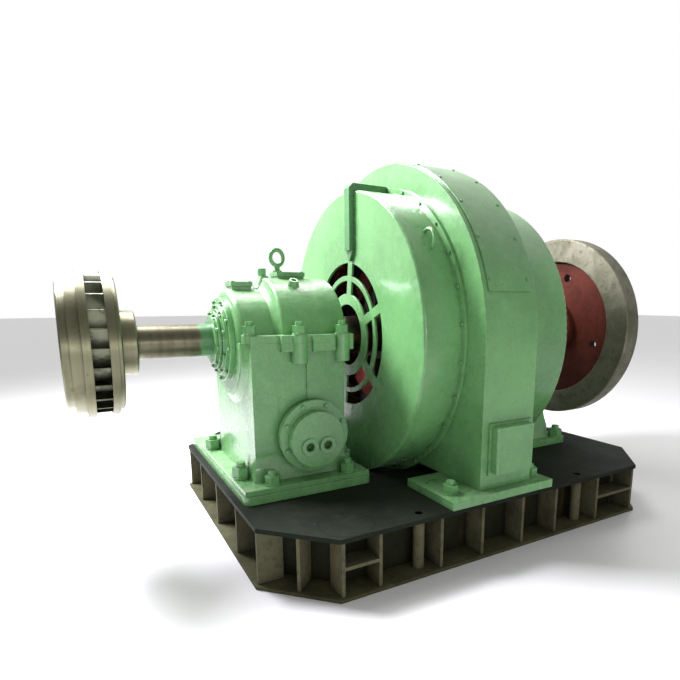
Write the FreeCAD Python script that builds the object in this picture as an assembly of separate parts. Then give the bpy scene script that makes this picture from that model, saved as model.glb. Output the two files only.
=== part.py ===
"""Horizontal hydroelectric set: overhung Francis runner, thrust pedestal, generator and flywheel on one base.

Millimetres, +Z up. The origin is the middle of the base's underside, on the floor. The shaft runs along X,
with the runner at the -X end and the flywheel at the +X end.
"""
import FreeCAD, Part
import math
import os

Vec = FreeCAD.Vector

# ---- driving dimensions: overall -----------------------------------------------------------------------
axis_z = 800.0            # shaft centre above the floor
base_h = 218.0            # base frame height
fit = 0.1                 # radial running clearance of the shaft in its bushes
seal_gap = 1.0            # radial clearance of the shaft in its seal rings

# ---- nuts: (width across flats, washer radius, washer height, nut height, stud end beyond) -------------
cap_nut = (46.0, 27.0, 4.0, 30.0, 16.0)
side_nut = (52.0, 32.0, 6.0, 32.0, 16.0)
end_nut = (60.0, 36.0, 8.0, 38.0, 18.0)
rear_nut = (60.0, 38.0, 6.0, 34.0, 18.0)
stator_nut = (52.0, 33.0, 5.0, 30.0, 14.0)
stud_share = 0.31         # stud's radius as a share of the nut's width

# ---- base frame ----------------------------------------------------------------------------------------
corner_x = 209.0          # corner cut along the shaft
corner_y = 216.0          # corner cut across the shaft
base_top_t = 16.0         # top plate
base_foot_t = 12.0        # bottom flange
base_foot_w = 190.0       # width of the bottom flange
base_foot_out = 6.0       # bottom flange beyond the outline
base_web_in = 96.0        # inset of the web's outer face
base_web_t = 14.0
base_end_out = 24.0       # base beyond the front pedestal's plate
base_side_out = 40.0      # base beyond the casing's columns
rib_t = 12.0
rib_back = 5.0            # ribs stop this far inside the outline
front_rib_x = (-600.0, -347.0, -155.0, 51.0, 239.0, 498.0)
side_rib_y = 305.0
shelf_at = 0.5            # share of the base's height
beam_t = 16.0             # cross beams under the pedestals
beam_in = (40.0, 60.0, 20.0, 20.0)
sleeve_r = 21.0           # anchor bolt sleeves
sleeve_bore_r = 15.0
sleeve_in = 53.0          # inset from the base's long sides
sleeve_x = (-416.0, 416.0)
pit_clear = 12.0          # pit beyond the drums' flanges, to either side
pit_end = 28.0            # pit beyond the drums at either end

# ---- shaft ---------------------------------------------------------------------------------------------
shaft_r = 85.0            # main shaft and journals
shaft_thin_r = 64.0       # runner end
shaft_tail_r = 75.0       # flywheel end
shaft_step = 24.0         # the thin end starts this far inside the front pedestal's face
shaft_tail_out = 34.0     # shaft beyond the flywheel
shaft_chamfer = 6.0

# ---- runner --------------------------------------------------------------------------------------------
runner_gap = 357.0        # from the runner's hub to the pedestal's front face
runner_inlet_r = 251.0    # vane tips
inlet_w = 53.0            # width of the inlet belt
crown_ring_r = (259.0, 243.0)
crown_ring_w = (25.0, 16.0)
band_ring_r = (268.0, 249.0, 226.0)
band_ring_w = (26.0, 35.0, 28.0)
band_eye_r = 194.0        # outlet eye
hub_r = 120.0
hub_w = 59.0
vane_count = 24
vane_t = 6.0
vane_root_r = 90.0
vane_turn = (20.0, 52.0)  # turn of the vane at mid radius and at its tip, degrees
nose_r = 108.0            # crown's radius at the vane outlets
runner_nut_r = 92.0
runner_nut_w = 18.0

# ---- front (thrust) pedestal ---------------------------------------------------------------------------
ped_gap = 126.0           # pedestal cap's end to the generator's front drum
ped_l = 411.0             # pedestal along the shaft at the cap
ped_hw = 281.0            # half width of the body
ped_small_l = 127.0       # length of the cap's small front barrel
ped_small_r = 203.0
ped_big_r = 250.0
ped_nose = 24.0           # rounded front of the small barrel beyond the body's face
ped_plate_t = 32.0
ped_plate_front = 100.0   # plate beyond the body on the cooler side
ped_plate_back = 313.0    # plate beyond the body on the far side
ped_plate_ends = (75.0, 42.0)
ped_foot_t = 20.0         # foot flange of the body on its plate
ped_foot_hw = 372.0
ped_foot_ends = (70.0, 34.0)
ped_flare = 22.0          # spread of the body above the foot flange
ped_flare_h = 112.0
ped_end_in = 36.0         # the body's back face stands in from the cap's end
boss_r = (228.0, 262.0)   # thrust boss on the front face: at its front edge and at the body
boss_edge = 6.0
# seal housing's outline: (distance before the barrel, radius)
seal_profile = ((0, 168), (18, 168), (20, 166), (20, 150), (24, 150), (24, 142), (28, 142), (30, 140),
                (30, 124), (36, 122), (36, 112), (40, 112), (40, 118), (46, 118), (47, 116), (47, 98),
                (55, 98), (57, 95))
bush_t = 28.0
bush_in = 34.0            # bush ends inside the pedestal's ends
bore_gap = 6.0            # cored passage round the shaft beyond the bushes
pad_t = 9.0               # pilaster on the body's right half
flange_t = 34.0           # split flange, each half
ear_out = 25.0            # the wide part of the split flange beyond the body
ear_in = 112.0            # where the wide part starts
cap_bolt_r = 30.0         # round bosses of the split flange
cap_bolt_low = 78.0       # boss below the split
cap_bolt_high = 30.0      # boss above the split
block_x = (232.0, 322.0)  # dowel block between the two rear bosses
block_out = 16.0          # beyond the wide flange
cooler_in = 225.0         # cooler's centre behind the front face
cooler_up = 187.0         # cooler's centre above the plate
cooler_r = 142.0
cooler_disc_r = 110.0
cooler_neck_r = 136.0
cooler_t = (26.0, 18.0, 34.0)
cooler_low = 9.0          # the cover's centre under the flange's
cooler_port_gap = 74.0
cooler_port_drop = 24.0
cooler_port_r = 19.0
cooler_port_boss = 34.0
cooler_port_out = 10.0    # port bosses beyond the cover
cooler_port_deep = 30.0
cover_t = 17.0            # inspection covers
cover_pad = 6.0           # cast pad beyond the barrel
cover_lip = 4.0           # cover beyond its pad
foot_pocket_r = 46.0      # room for the rear pedestal's hold-down nuts
foot_pocket_h = 86.0
end_pocket_r = 40.0       # room for the front pedestal's end nuts
filler_turn = 28.8        # oil filler's lean to the cooler side, degrees
filler_top = 272.0
filler_bore = 10.0
eye_up = 60.0             # middle of the eye over its cover

# ---- rear pedestal -------------------------------------------------------------------------------------
rear_gap = 68.0           # rear drum to the rear pedestal's cap
rear_l = 236.0
rear_hw = 262.0
rear_cap_r = 215.0
rear_flare = 66.0
rear_flare_h = 220.0
rear_plate_hw = 355.0
rear_plate_out = 56.0     # plate beyond the body at either end
rear_bush_in = 20.0

# ---- generator -----------------------------------------------------------------------------------------
drum_x = -324.0           # face of the front drum
drum_r = 625.0
drum_t = 12.0
drum_edge = 10.0          # rounded edge of the face plate
front_drum_l = 178.0
rear_drum_l = 316.0
drum_flange_r = drum_r + 25.0
drum_flange_t = 14.0
case_r = drum_r + 123.0   # stator casing, inverted U with straight sides
case_w = 258.0
case_low_r = drum_r + 15.0
core_seat_r = drum_r - 65.0
core_bore_r = drum_r - 225.0
core_w = case_w - 36.0
winding_r = (drum_r - 210.0, drum_r - 100.0)
winding_l = 92.0
band_t = 6.0              # cover sheet round the casing
band_in = (22.0, 28.0)    # sheet inside the casing's front and back edges
band_rise = 14.8          # degrees above the shaft's height where the sheet ends
foot_t = 32.0
foot_in = 298.0           # width of the foot plates
foot_l = case_w + 246.0
foot_shift = 34.0         # foot plates' middle in front of the casing's
foot_bolt_in = (48.0, 44.0)
foot_bolt_side = 83.0     # hold-down nuts inside the base's long sides
vent_r = 322.0
vent_ring = ((vent_r - 78.0, vent_r - 56.0), (vent_r - 183.0, vent_r - 136.0))
spoke_w = 40.0
spoke_count = 6
spoke_turn = 7.0          # the upper spoke leans this far from upright, degrees
grille_t = 10.0
duct_y = -57.0            # cable duct down the front drum
duct_w = 46.0
duct_t = 24.0
duct_tail = 50.0          # the taper starts this far above the vent
duct_spread = 8.0         # the taper's head beyond the duct at either side
duct_chamfer = 21.0
lug_in = 100.0            # lifting loops behind the front drum's face
lug_angle = 52.0          # from the top, to either side
lug_r = 40.0
lug_bar = 7.0
term_t = 10.0             # terminal box: back plate
term_side = (30.0, 14.0)  # back plate inside the column's edges
term_rim = (10.0, 20.0)   # lid inside the back plate
lid_up = 68.0             # lid above the foot plate
lid_h = 180.0
lid_t = 34.0
lid_round = 9.0

# ---- rotor ---------------------------------------------------------------------------------------------
rotor_r = core_bore_r - 12.0
pole_count = 6
pole_shoe_t = 42.0
pole_shoe_hw = 140.0
pole_hw = 52.0
rotor_hub_r = 212.0
coil_hw = 84.0
coil_end = 30.0
coil_r = (226.0, rotor_r - 56.0)
fan_t = 10.0
fan_blade = 34.0
fan_count = 12

# ---- flywheel ------------------------------------------------------------------------------------------
wheel_gap = 291.0         # from the rear pedestal to the flywheel
wheel_r = 500.0
wheel_w = 93.0
wheel_rim_in = 374.0
wheel_recess = 22.0
wheel_hub_r = 150.0
wheel_hub_out = 14.0      # hub beyond the rim at either side
wheel_hole_n = 4
wheel_hole_r = 22.0
wheel_hole_at = 292.0
wheel_hole_turn = 16.0    # first hole from the top, degrees
wheel_bevel = 6.0
wheel_edge = 3.0
wheel_nut_r = 105.0
wheel_nut_w = 16.0

# ---- places worked out from the sizes above ------------------------------------------------------------
base_top = base_h
case_x0 = drum_x + front_drum_l
case_x1 = case_x0 + case_w
case_mid = (case_x0 + case_x1) / 2
rear_x1 = case_x1 + rear_drum_l
ped_x1 = drum_x - ped_gap
ped_x0 = ped_x1 - ped_l
ped_step = ped_x0 + ped_small_l
ped_top = base_top + ped_plate_t
seal_x = ped_x0 - ped_nose
plate_front_x = ped_x0 - ped_plate_ends[0]
plate_back_x = ped_x1 + ped_plate_ends[1]
base_l = 2 * (base_end_out - plate_front_x)
base_w = 2 * (case_r + base_side_out)
sleeve_y = base_w / 2 - sleeve_in
pit_hw = math.sqrt(max(drum_flange_r ** 2 - (axis_z - base_top) ** 2, 0.0)) + pit_clear
rear_x0 = rear_x1 + rear_gap
rear_end = rear_x0 + rear_l
wheel_x = rear_end + wheel_gap
hub_x1 = ped_x0 - runner_gap
crown_x1 = hub_x1 - hub_w
inlet_x1 = crown_x1 - sum(crown_ring_w)
inlet_x0 = inlet_x1 - inlet_w
band_x0 = inlet_x0 - sum(band_ring_w)
nut_x = band_x0 + runner_nut_w
bush_r = shaft_r + fit + bush_t
foot_mid = case_mid - foot_shift
cooler_x = ped_x0 + cooler_in
cooler_z = ped_top + cooler_up
ear_x0 = ped_x0 + ear_in
ear_y = ped_hw + ear_out
front_bolt_spots = ((ped_x0 + 8.0, ped_hw - 35.0), (ped_x0 + 183.0, ped_hw + 19.0),
                    (ped_x1 - 48.0, ped_hw + 19.0))
front_foot_spots = tuple((x, s * (ped_hw + 55.0)) for x in (ped_x0 + 46.0, ped_x1 - 47.0) for s in (-1, 1))
foot_top = ped_top + ped_foot_t
front_end_spots = tuple((x, y) for x in (ped_x0 - 37.0, ped_x1) for y in (-200.0, 269.0))
rear_bolt_spots = ((rear_x0 + 50.0, rear_hw - 12.0), (rear_end - 50.0, rear_hw - 12.0))
rear_foot_spots = tuple((x, y) for x in (rear_x0 - 12.0, rear_end + 12.0) for y in (-322.0, 322.0))
# inspection covers on the cap: (x0, x1, height of the pad over the shaft, half width)
cover_spots = ((ped_x0 + 6.0, ped_x0 + 84.0, ped_small_r + 10.0, 44.0),
               (ped_x1 - 214.0, ped_x1 - 100.0, ped_big_r + cover_pad, 44.0))
eye_x = ped_x1 - 200.0
stub_x = ped_step + 18.0
plug_x = ped_x1 - 177.0


def box(x0, x1, y0, y1, z0, z1):
    """Return a block between two corners."""
    return Part.makeBox(x1 - x0, y1 - y0, z1 - z0, Vec(x0, y0, z0))


def rod(r, x0, x1, y=0.0, z=axis_z):
    """Return a cylinder along X."""
    return Part.makeCylinder(r, x1 - x0, Vec(x0, y, z), Vec(1, 0, 0))


def post(r, x, y, z0, z1):
    """Return a cylinder along Z."""
    return Part.makeCylinder(r, z1 - z0, Vec(x, y, z0))


def peg(r, x, z, y0, y1):
    """Return a cylinder along Y."""
    return Part.makeCylinder(r, y1 - y0, Vec(x, y0, z), Vec(0, 1, 0))


def ring(r_out, r_in, x0, x1):
    """Return a tube about the shaft axis."""
    return rod(r_out, x0, x1).cut(rod(r_in, x0 - 1, x1 + 1))


def turned(points):
    """Turn a closed outline of (x, radius) points about the shaft axis.

    A triple (x, radius, "via") is the middle point of an arc between its neighbours.
    """
    edges = []
    spots = [Vec(p[0], 0, axis_z + p[1]) for p in points]
    n = len(points)
    i = 0
    while i < n:
        here, nxt = spots[i], (i + 1) % n
        if len(points[nxt]) == 3:
            end = (i + 2) % n
            edges.append(Part.Arc(here, spots[nxt], spots[end]).toShape())
            i += 2
        else:
            edges.append(Part.makeLine(here, spots[nxt]))
            i += 1
    face = Part.Face(Part.Wire(edges))
    return face.revolve(Vec(0, 0, axis_z), Vec(1, 0, 0), 360)


def slab(points, z0, z1):
    """Extrude a plan outline of (x, y) points between two heights."""
    corners = [Vec(x, y, z0) for x, y in points]
    return Part.Face(Part.makePolygon(corners + corners[:1])).extrude(Vec(0, 0, z1 - z0))


def hexagon(x, y, z0, z1, flats):
    """Return a hexagonal prism along Z, with the width across its flats."""
    r = flats / math.sqrt(3)
    pts = [(x + r * math.cos(math.radians(60 * k)), y + r * math.sin(math.radians(60 * k))) for k in range(6)]
    return slab(pts, z0, z1)


def stud(x, y, z, nut):
    """Return a washer, nut and stud end standing on a face at height z.

    The nut is (width across flats, washer radius, washer height, nut height, stud end beyond the nut).
    """
    flats, washer_r, washer_h, nut_h, end_h = nut
    low, high = z + washer_h, z + washer_h + nut_h
    shape = post(washer_r, x, y, z, low).fuse(hexagon(x, y, low, high, flats))
    return shape.fuse(post(flats * stud_share, x, y, low, high + end_h)).removeSplitter()


def join(shapes):
    """Fuse a list of overlapping or touching shapes into one."""
    whole = shapes[0]
    for shape in shapes[1:]:
        whole = whole.fuse(shape)
    return whole.removeSplitter()


def around(shape, count, start=0.0):
    """Copy a shape count times about the shaft axis."""
    copies = []
    for k in range(count):
        copy = shape.copy()
        copy.rotate(Vec(0, 0, axis_z), Vec(1, 0, 0), start + 360.0 * k / count)
        copies.append(copy)
    return copies


# ---- base frame ----------------------------------------------------------------------------------------
def outline(inset):
    """Return the base's eight-cornered plan outline, moved inwards by inset."""
    half_l, half_w = base_l / 2, base_w / 2
    slope = math.hypot(corner_x, corner_y)
    nx, ny = corner_y / slope, corner_x / slope
    reach = nx * half_l + ny * (half_w - corner_y) - inset
    x1, y1 = half_l - inset, half_w - inset
    y_cut = (reach - nx * x1) / ny
    x_cut = (reach - ny * y1) / nx
    return [(x1, -y_cut), (x1, y_cut), (x_cut, y1), (-x_cut, y1),
            (-x1, y_cut), (-x1, -y_cut), (-x_cut, -y1), (x_cut, -y1)]


def base_top_plate():
    """Top plate with the pit under the drums and the anchor holes."""
    plate = slab(outline(0), base_top - base_top_t, base_top)
    plate = plate.cut(box(drum_x - pit_end, rear_x1 + pit_end, -pit_hw, pit_hw, 0, base_top + 1))
    for x in sleeve_x:
        for y in (-sleeve_y, sleeve_y):
            plate = plate.cut(post(sleeve_bore_r, x, y, 0, base_top + 1))
    return plate


def base_bottom_flange():
    """Flat flange on the floor, following the outline."""
    plate = slab(outline(-base_foot_out), 0, base_foot_t)
    plate = plate.cut(slab(outline(base_foot_w), -1, base_foot_t + 1))
    for x in sleeve_x:
        for y in (-sleeve_y, sleeve_y):
            plate = plate.cut(post(sleeve_bore_r, x, y, -1, base_foot_t + 1))
    return plate


def base_web():
    """Upright wall set in from the outline."""
    z0, z1 = base_foot_t, base_top - base_top_t
    return slab(outline(base_web_in), z0, z1).cut(slab(outline(base_web_in + base_web_t), z0 - 1, z1 + 1))


def rib_zone():
    """Space between the web and the outline, where ribs and shelves may stand."""
    z0, z1 = base_foot_t, base_top - base_top_t
    return slab(outline(rib_back), z0, z1).cut(slab(outline(base_web_in), z0 - 1, z1 + 1))


def base_ribs_long(side):
    """Ribs along one long side, with the two at the corner cuts (side is -1 or +1)."""
    zone = rib_zone()
    y0, y1 = sorted((side * base_w / 2, side * (base_w / 2 - base_web_in)))
    corner = base_l / 2 - corner_x - rib_t
    ribs = []
    for x in (-corner,) + front_rib_x + (corner,):
        blade = box(x - rib_t / 2, x + rib_t / 2, y0, y1, 0, base_top)
        ribs.append(blade.common(zone))
    return Part.makeCompound(ribs)


def base_ribs_end(side):
    """Ribs across one end, with one on each corner cut (side is -1 or +1)."""
    zone = rib_zone()
    x0, x1 = sorted((side * base_l / 2, side * (base_l / 2 - base_web_in)))
    corner = base_w / 2 - corner_y - rib_t
    ribs = []
    for y in (-corner, -side_rib_y, 0.0, side_rib_y, corner):
        ribs.append(box(x0, x1, y - rib_t / 2, y + rib_t / 2, 0, base_top).common(zone))
    turn = math.degrees(math.atan2(corner_x, corner_y))
    for y_side in (-1, 1):
        blade = box(-base_web_in, base_web_in, -rib_t / 2, rib_t / 2, 0, base_top)
        blade.rotate(Vec(0, 0, 0), Vec(0, 0, 1), side * y_side * turn)
        blade.translate(Vec(side * (base_l - corner_x) / 2, y_side * (base_w - corner_y) / 2, 0))
        ribs.append(blade.common(zone))
    return Part.makeCompound(ribs)


def base_shelves():
    """Mid-height shelves in the end bays of both long sides."""
    zone = rib_zone()
    z = base_h * shelf_at
    corner = base_l / 2 - corner_x - rib_t
    inside = corner - rib_t / 2
    bays = ((-inside, front_rib_x[0] - rib_t / 2), (front_rib_x[-1] + rib_t / 2, inside))
    shelves = []
    for x0, x1 in bays:
        for side in (-1, 1):
            y0, y1 = sorted((side * base_w / 2, side * (base_w / 2 - base_web_in)))
            shelves.append(box(x0, x1, y0, y1, z - rib_t / 2, z + rib_t / 2).common(zone))
    return Part.makeCompound(shelves)


def anchor_sleeves():
    """Pipe sleeves for the anchor bolts, between the two plates."""
    z0, z1 = base_foot_t, base_top - base_top_t
    return Part.makeCompound([post(sleeve_r, x, y, z0, z1).cut(post(sleeve_bore_r, x, y, z0 - 1, z1 + 1))
                              for x in sleeve_x for y in (-sleeve_y, sleeve_y)])


def base_cross_beams():
    """Upright plates across the base under the two pedestals."""
    z0, z1 = base_foot_t, base_top - base_top_t
    inner = slab(outline(base_web_in + base_web_t), z0, z1)
    a, b, c, d = beam_in
    places = (ped_x0 + a, ped_x1 - b, rear_x0 + c, rear_end - d)
    half = beam_t / 2
    return Part.makeCompound([box(x - half, x + half, -base_w, base_w, z0, z1).common(inner) for x in places])


# ---- pedestals -----------------------------------------------------------------------------------------
def profile_yz(half_w, flare, flare_h, z0, z1):
    """Face across the shaft: straight sides that spread in an arc towards the foot."""
    def side(sign):
        knee = Vec(0, sign * half_w, z0 + flare_h)
        mid = Vec(0, sign * (half_w + flare * 0.22), z0 + flare_h * 0.42)
        toe = Vec(0, sign * (half_w + flare), z0)
        return knee, mid, toe
    kl, ml, tl = side(-1)
    kr, mr, tr = side(1)
    top_l, top_r = Vec(0, -half_w, z1), Vec(0, half_w, z1)
    edges = [Part.makeLine(top_l, kl), Part.Arc(kl, ml, tl).toShape(), Part.makeLine(tl, tr),
             Part.Arc(tr, mr, kr).toShape(), Part.makeLine(kr, top_r), Part.makeLine(top_r, top_l)]
    return Part.Face(Part.Wire(edges))


def profile_xz(x0, x1, flare0, flare1, flare_h, z0, z1):
    """Face along the shaft: the same, with its own spread at either end."""
    kl, kr = Vec(x0, 0, z0 + flare_h), Vec(x1, 0, z0 + flare_h)
    ml = Vec(x0 - flare0 * 0.22, 0, z0 + flare_h * 0.42)
    mr = Vec(x1 + flare1 * 0.22, 0, z0 + flare_h * 0.42)
    tl, tr = Vec(x0 - flare0, 0, z0), Vec(x1 + flare1, 0, z0)
    top_l, top_r = Vec(x0, 0, z1), Vec(x1, 0, z1)
    edges = [Part.makeLine(top_l, kl), Part.Arc(kl, ml, tl).toShape(), Part.makeLine(tl, tr),
             Part.Arc(tr, mr, kr).toShape(), Part.makeLine(kr, top_r), Part.makeLine(top_r, top_l)]
    return Part.Face(Part.Wire(edges))


def casting(x0, x1, half_w, flare, flare0, flare1, flare_h, z0, z1):
    """Upright cast body that spreads towards its foot on all sides."""
    across = profile_yz(half_w, flare, flare_h, z0, z1).extrude(Vec(2000, 0, 0))
    across.translate(Vec((x0 + x1) / 2 - 1000, 0, 0))
    along = profile_xz(x0, x1, flare0, flare1, flare_h, z0, z1).extrude(Vec(0, 2000, 0))
    along.translate(Vec(0, -1000, 0))
    return across.common(along)


def below(shape):
    """Keep the part of a shape under the split at the shaft's height."""
    return shape.common(box(-3000, 3000, -2000, 2000, -10, axis_z))


def above(shape):
    """Keep the part of a shape over the split at the shaft's height."""
    return shape.common(box(-3000, 3000, -2000, 2000, axis_z, 3000))


def front_barrels():
    """Bearing barrels of the front pedestal, as one turned solid with rounded ends."""
    small, big = ped_small_r, ped_big_r
    return turned([(seal_x, 0), (seal_x, small - 32), (seal_x + 4, small - 14, "via"), (seal_x + 20, small),
                   (ped_step - 12, small), (ped_step - 2, small + 12, "via"),
                   (ped_step + 10, big - 10), (ped_step + 14, big - 3, "via"),
                   (ped_step + 22, big), (ped_x1 - 16, big), (ped_x1 - 4, big - 5, "via"),
                   (ped_x1, big - 16), (ped_x1, 0)])


def front_flange(z0, z1):
    """Split flange of the front pedestal between two heights: narrow at the front, wide at the back."""
    pts = [(ped_x0, -ped_hw), (ear_x0, -ped_hw), (ear_x0, -ear_y), (ped_x1, -ear_y),
           (ped_x1, ear_y), (ear_x0, ear_y), (ear_x0, ped_hw), (ped_x0, ped_hw)]
    return slab(pts, z0, z1)


def front_bored(shape):
    """Cut the bush seat and the cored passage round the shaft."""
    shape = shape.cut(rod(bush_r, ped_x0 + bush_in, ped_x1 - bush_in))
    return shape.cut(rod(shaft_r + bore_gap, seal_x - 6, ped_x1 + 10))


def front_pedestal_body():
    """Cast lower half with the thrust boss on its front face, pilaster, bolt bosses and dowel blocks."""
    x1 = ped_x1 - ped_end_in
    body = casting(ped_x0, x1, ped_hw, ped_flare, 13.0, 30.0, ped_flare_h, foot_top, axis_z)
    foot_x0, foot_x1 = ped_x0 - ped_foot_ends[0], ped_x1 + ped_foot_ends[1]
    foot = box(foot_x0, foot_x1, -ped_foot_hw, ped_foot_hw, ped_top, foot_top)
    edge, (r0, r1) = boss_edge, boss_r
    boss = turned([(seal_x, 0), (seal_x, r0 - edge), (seal_x + edge * 0.29, r0 - edge * 0.29, "via"),
                   (seal_x + edge, r0), (ped_x0, r1), (ped_x0 + edge, r1), (ped_x0 + edge, 0)])
    parts = [body, foot, below(boss), below(front_barrels()), front_flange(axis_z - flange_t, axis_z)]
    for side in (-1, 1):
        y0, y1 = sorted((side * (ped_hw - 5), side * (ped_hw + pad_t)))
        parts.append(box(ped_x0 + 215, x1, y0, y1, cooler_z, axis_z))
        y0, y1 = sorted((side * ped_hw, side * (ear_y + block_out)))
        parts.append(box(ped_x0 + block_x[0], ped_x0 + block_x[1], y0, y1, axis_z - flange_t, axis_z))
        for x, y in front_bolt_spots[1:]:
            parts.append(post(cap_bolt_r, x, side * y, axis_z - cap_bolt_low, axis_z))
    whole = front_bored(join(parts))
    for x, y in front_end_spots:
        whole = whole.cut(post(end_pocket_r, x, y, foot_top, foot_top + foot_pocket_h))
    whole = whole.cut(peg(cooler_r + 6, cooler_x, cooler_z, -ped_hw - 200, -ped_hw - pad_t))
    return below(whole)


def front_pedestal_cap():
    """Cast upper half: two barrels, split flange, bolt bosses, cover pads, lug and oil filler."""
    parts = [above(front_barrels()), front_flange(axis_z, axis_z + flange_t * 0.8)]
    for side in (-1, 1):
        y0, y1 = sorted((side * ped_hw, side * (ear_y + block_out)))
        x0, x1 = ped_x0 + block_x[0], ped_x0 + block_x[1]
        parts.append(box(x0, x1, y0, y1, axis_z, axis_z + flange_t * 0.8))
        for x, y in front_bolt_spots:
            parts.append(post(cap_bolt_r, x, side * y, axis_z, axis_z + cap_bolt_high))
    lug = Part.makeCone(46.0, 20.0, 52.0, Vec(stub_x + 4, 0, axis_z + ped_big_r - 46))
    filler = Part.makeCone(40.0, 18.0, 66.0, Vec(plug_x, 0, axis_z + filler_top - 66))
    hole = post(filler_bore, plug_x, 0, axis_z + filler_top - 30, axis_z + filler_top + 1)
    for shape in (filler, hole):
        shape.rotate(Vec(0, 0, axis_z), Vec(1, 0, 0), filler_turn)
    parts += [lug, filler]
    for x0, x1, r, y in cover_spots:
        parts.append(box(x0, x1, -y, y, axis_z + r - 60, axis_z + r))
    return front_bored(join(parts)).cut(hole)


def front_pedestal_plate():
    """Base plate of the front pedestal, rounded at its corners."""
    y0, y1 = -ped_hw - ped_plate_front, ped_hw + ped_plate_back
    plate = box(plate_front_x, plate_back_x, y0, y1, base_top, ped_top)
    upright = [e for e in plate.Edges if abs(e.tangentAt(e.FirstParameter).z) > 0.9]
    return plate.makeFillet(26.0, upright)


def bush(x0, x1):
    """Bearing bush with its running clearance on the shaft."""
    return ring(bush_r, shaft_r + fit, x0, x1)


def front_seal_rings():
    """Stepped oil seal housing on the front face."""
    bore = shaft_thin_r + seal_gap
    return turned([(seal_x - x, r) for x, r in ((0, bore),) + seal_profile + ((seal_profile[-1][0], bore),)])


def back_seal_ring(x, r):
    """Plain oil seal ring against a pedestal's end."""
    bore = shaft_r + seal_gap
    return turned([(x, bore), (x, r), (x + 12, r), (x + 18, r - 8), (x + 18, bore)])


def cap_covers():
    """Two inspection covers on the cap."""
    lip = cover_lip
    return Part.makeCompound([box(x0 - lip, x1 + lip, -y - lip, y + lip, axis_z + r, axis_z + r + cover_t)
                              for x0, x1, r, y in cover_spots])


def eye_bolt():
    """Forged eye, taller than wide, on its collar at the front end of the rear cover."""
    z = axis_z + cover_spots[1][2] + cover_t
    loop = Part.makeTorus(27.0, 8.0, Vec(0, 0, 0), Vec(0, 1, 0))
    tall = FreeCAD.Matrix()
    tall.scale(1.0, 1.0, 1.16)
    loop = loop.transformGeometry(tall)
    loop.translate(Vec(eye_x, 0, z + eye_up))
    return join([loop, post(18, eye_x, 0, z, z + 8), post(11, eye_x, 0, z, z + eye_up - 32)])


def cap_stub():
    """Hexagonal plug on the lug beside the barrel's step."""
    return hexagon(stub_x, 0, axis_z + ped_big_r + 6, axis_z + ped_big_r + 36, 30.0)


def front_cap_bolts():
    """Nuts and stud ends on the split flange."""
    return Part.makeCompound([stud(x, side * y, axis_z + cap_bolt_high, cap_nut)
                              for side in (-1, 1) for x, y in front_bolt_spots])


def front_foot_bolts():
    """Hold-down nuts of the front pedestal, the taller ones at its ends."""
    nuts = [stud(x, y, foot_top, side_nut) for x, y in front_foot_spots]
    nuts += [stud(x, y, foot_top, end_nut) for x, y in front_end_spots]
    return Part.makeCompound(nuts)


def cooler_flange():
    """Neck and flange of the oil cooler on the front of the pedestal."""
    neck_t, disc_t, _ = cooler_t
    y1 = -ped_hw - pad_t
    neck = peg(cooler_neck_r, cooler_x, cooler_z, y1 - neck_t, y1)
    disc = peg(cooler_r, cooler_x, cooler_z, y1 - neck_t - disc_t, y1 - neck_t)
    return neck.fuse(disc).removeSplitter()


def cooler_cover():
    """Raised cover with the two water ports."""
    y1 = -ped_hw - pad_t - cooler_t[0] - cooler_t[1]
    y0 = y1 - cooler_t[2]
    z = cooler_z - cooler_low
    port_z, port_y = z - cooler_port_drop, y0 - cooler_port_out
    ports = [cooler_x + side * cooler_port_gap / 2 for side in (-1, 1)]
    parts = [peg(cooler_disc_r, cooler_x, z, y0, y1)]
    parts += [peg(cooler_port_boss, x, port_z, port_y, y0 + 4) for x in ports]
    whole = join(parts)
    for x in ports:
        whole = whole.cut(peg(cooler_port_r, x, port_z, port_y - 1, y0 + cooler_port_deep))
    return whole


def rear_pedestal_plate():
    """Base plate of the rear pedestal."""
    plate = box(rear_x0 - rear_plate_out, rear_end + rear_plate_out, -rear_plate_hw, rear_plate_hw,
                base_top, ped_top)
    upright = [e for e in plate.Edges if abs(e.tangentAt(e.FirstParameter).z) > 0.9]
    return plate.makeFillet(20.0, upright)


def rear_barrel():
    """Bearing barrel of the rear pedestal with rounded ends."""
    return turned([(rear_x0, 0), (rear_x0, rear_cap_r - 18), (rear_x0 + 5, rear_cap_r - 5, "via"),
                   (rear_x0 + 18, rear_cap_r), (rear_end - 18, rear_cap_r),
                   (rear_end - 5, rear_cap_r - 5, "via"), (rear_end, rear_cap_r - 18), (rear_end, 0)])


def rear_bored(shape):
    """Cut the bush seat and the cored passage round the shaft."""
    shape = shape.cut(rod(bush_r, rear_x0 + rear_bush_in, rear_end - rear_bush_in))
    return shape.cut(rod(shaft_r + bore_gap, rear_x0 - 5, rear_end + 5))


def rear_pedestal_body():
    """Cast lower half of the rear pedestal."""
    x0, x1 = rear_x0 + 14, rear_end - 14
    body = casting(x0, x1, rear_hw - 12, rear_flare, 14.0, 14.0, rear_flare_h, ped_top, axis_z)
    parts = [body, below(rear_barrel()), box(x0 - 6, x1 + 6, -rear_hw, rear_hw, axis_z - flange_t, axis_z)]
    for side in (-1, 1):
        parts += [post(cap_bolt_r, x, side * y, axis_z - cap_bolt_low, axis_z) for x, y in rear_bolt_spots]
    whole = rear_bored(join(parts))
    for x, y in rear_foot_spots:
        whole = whole.cut(post(foot_pocket_r, x, y, ped_top, ped_top + foot_pocket_h))
    return below(whole)


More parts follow.
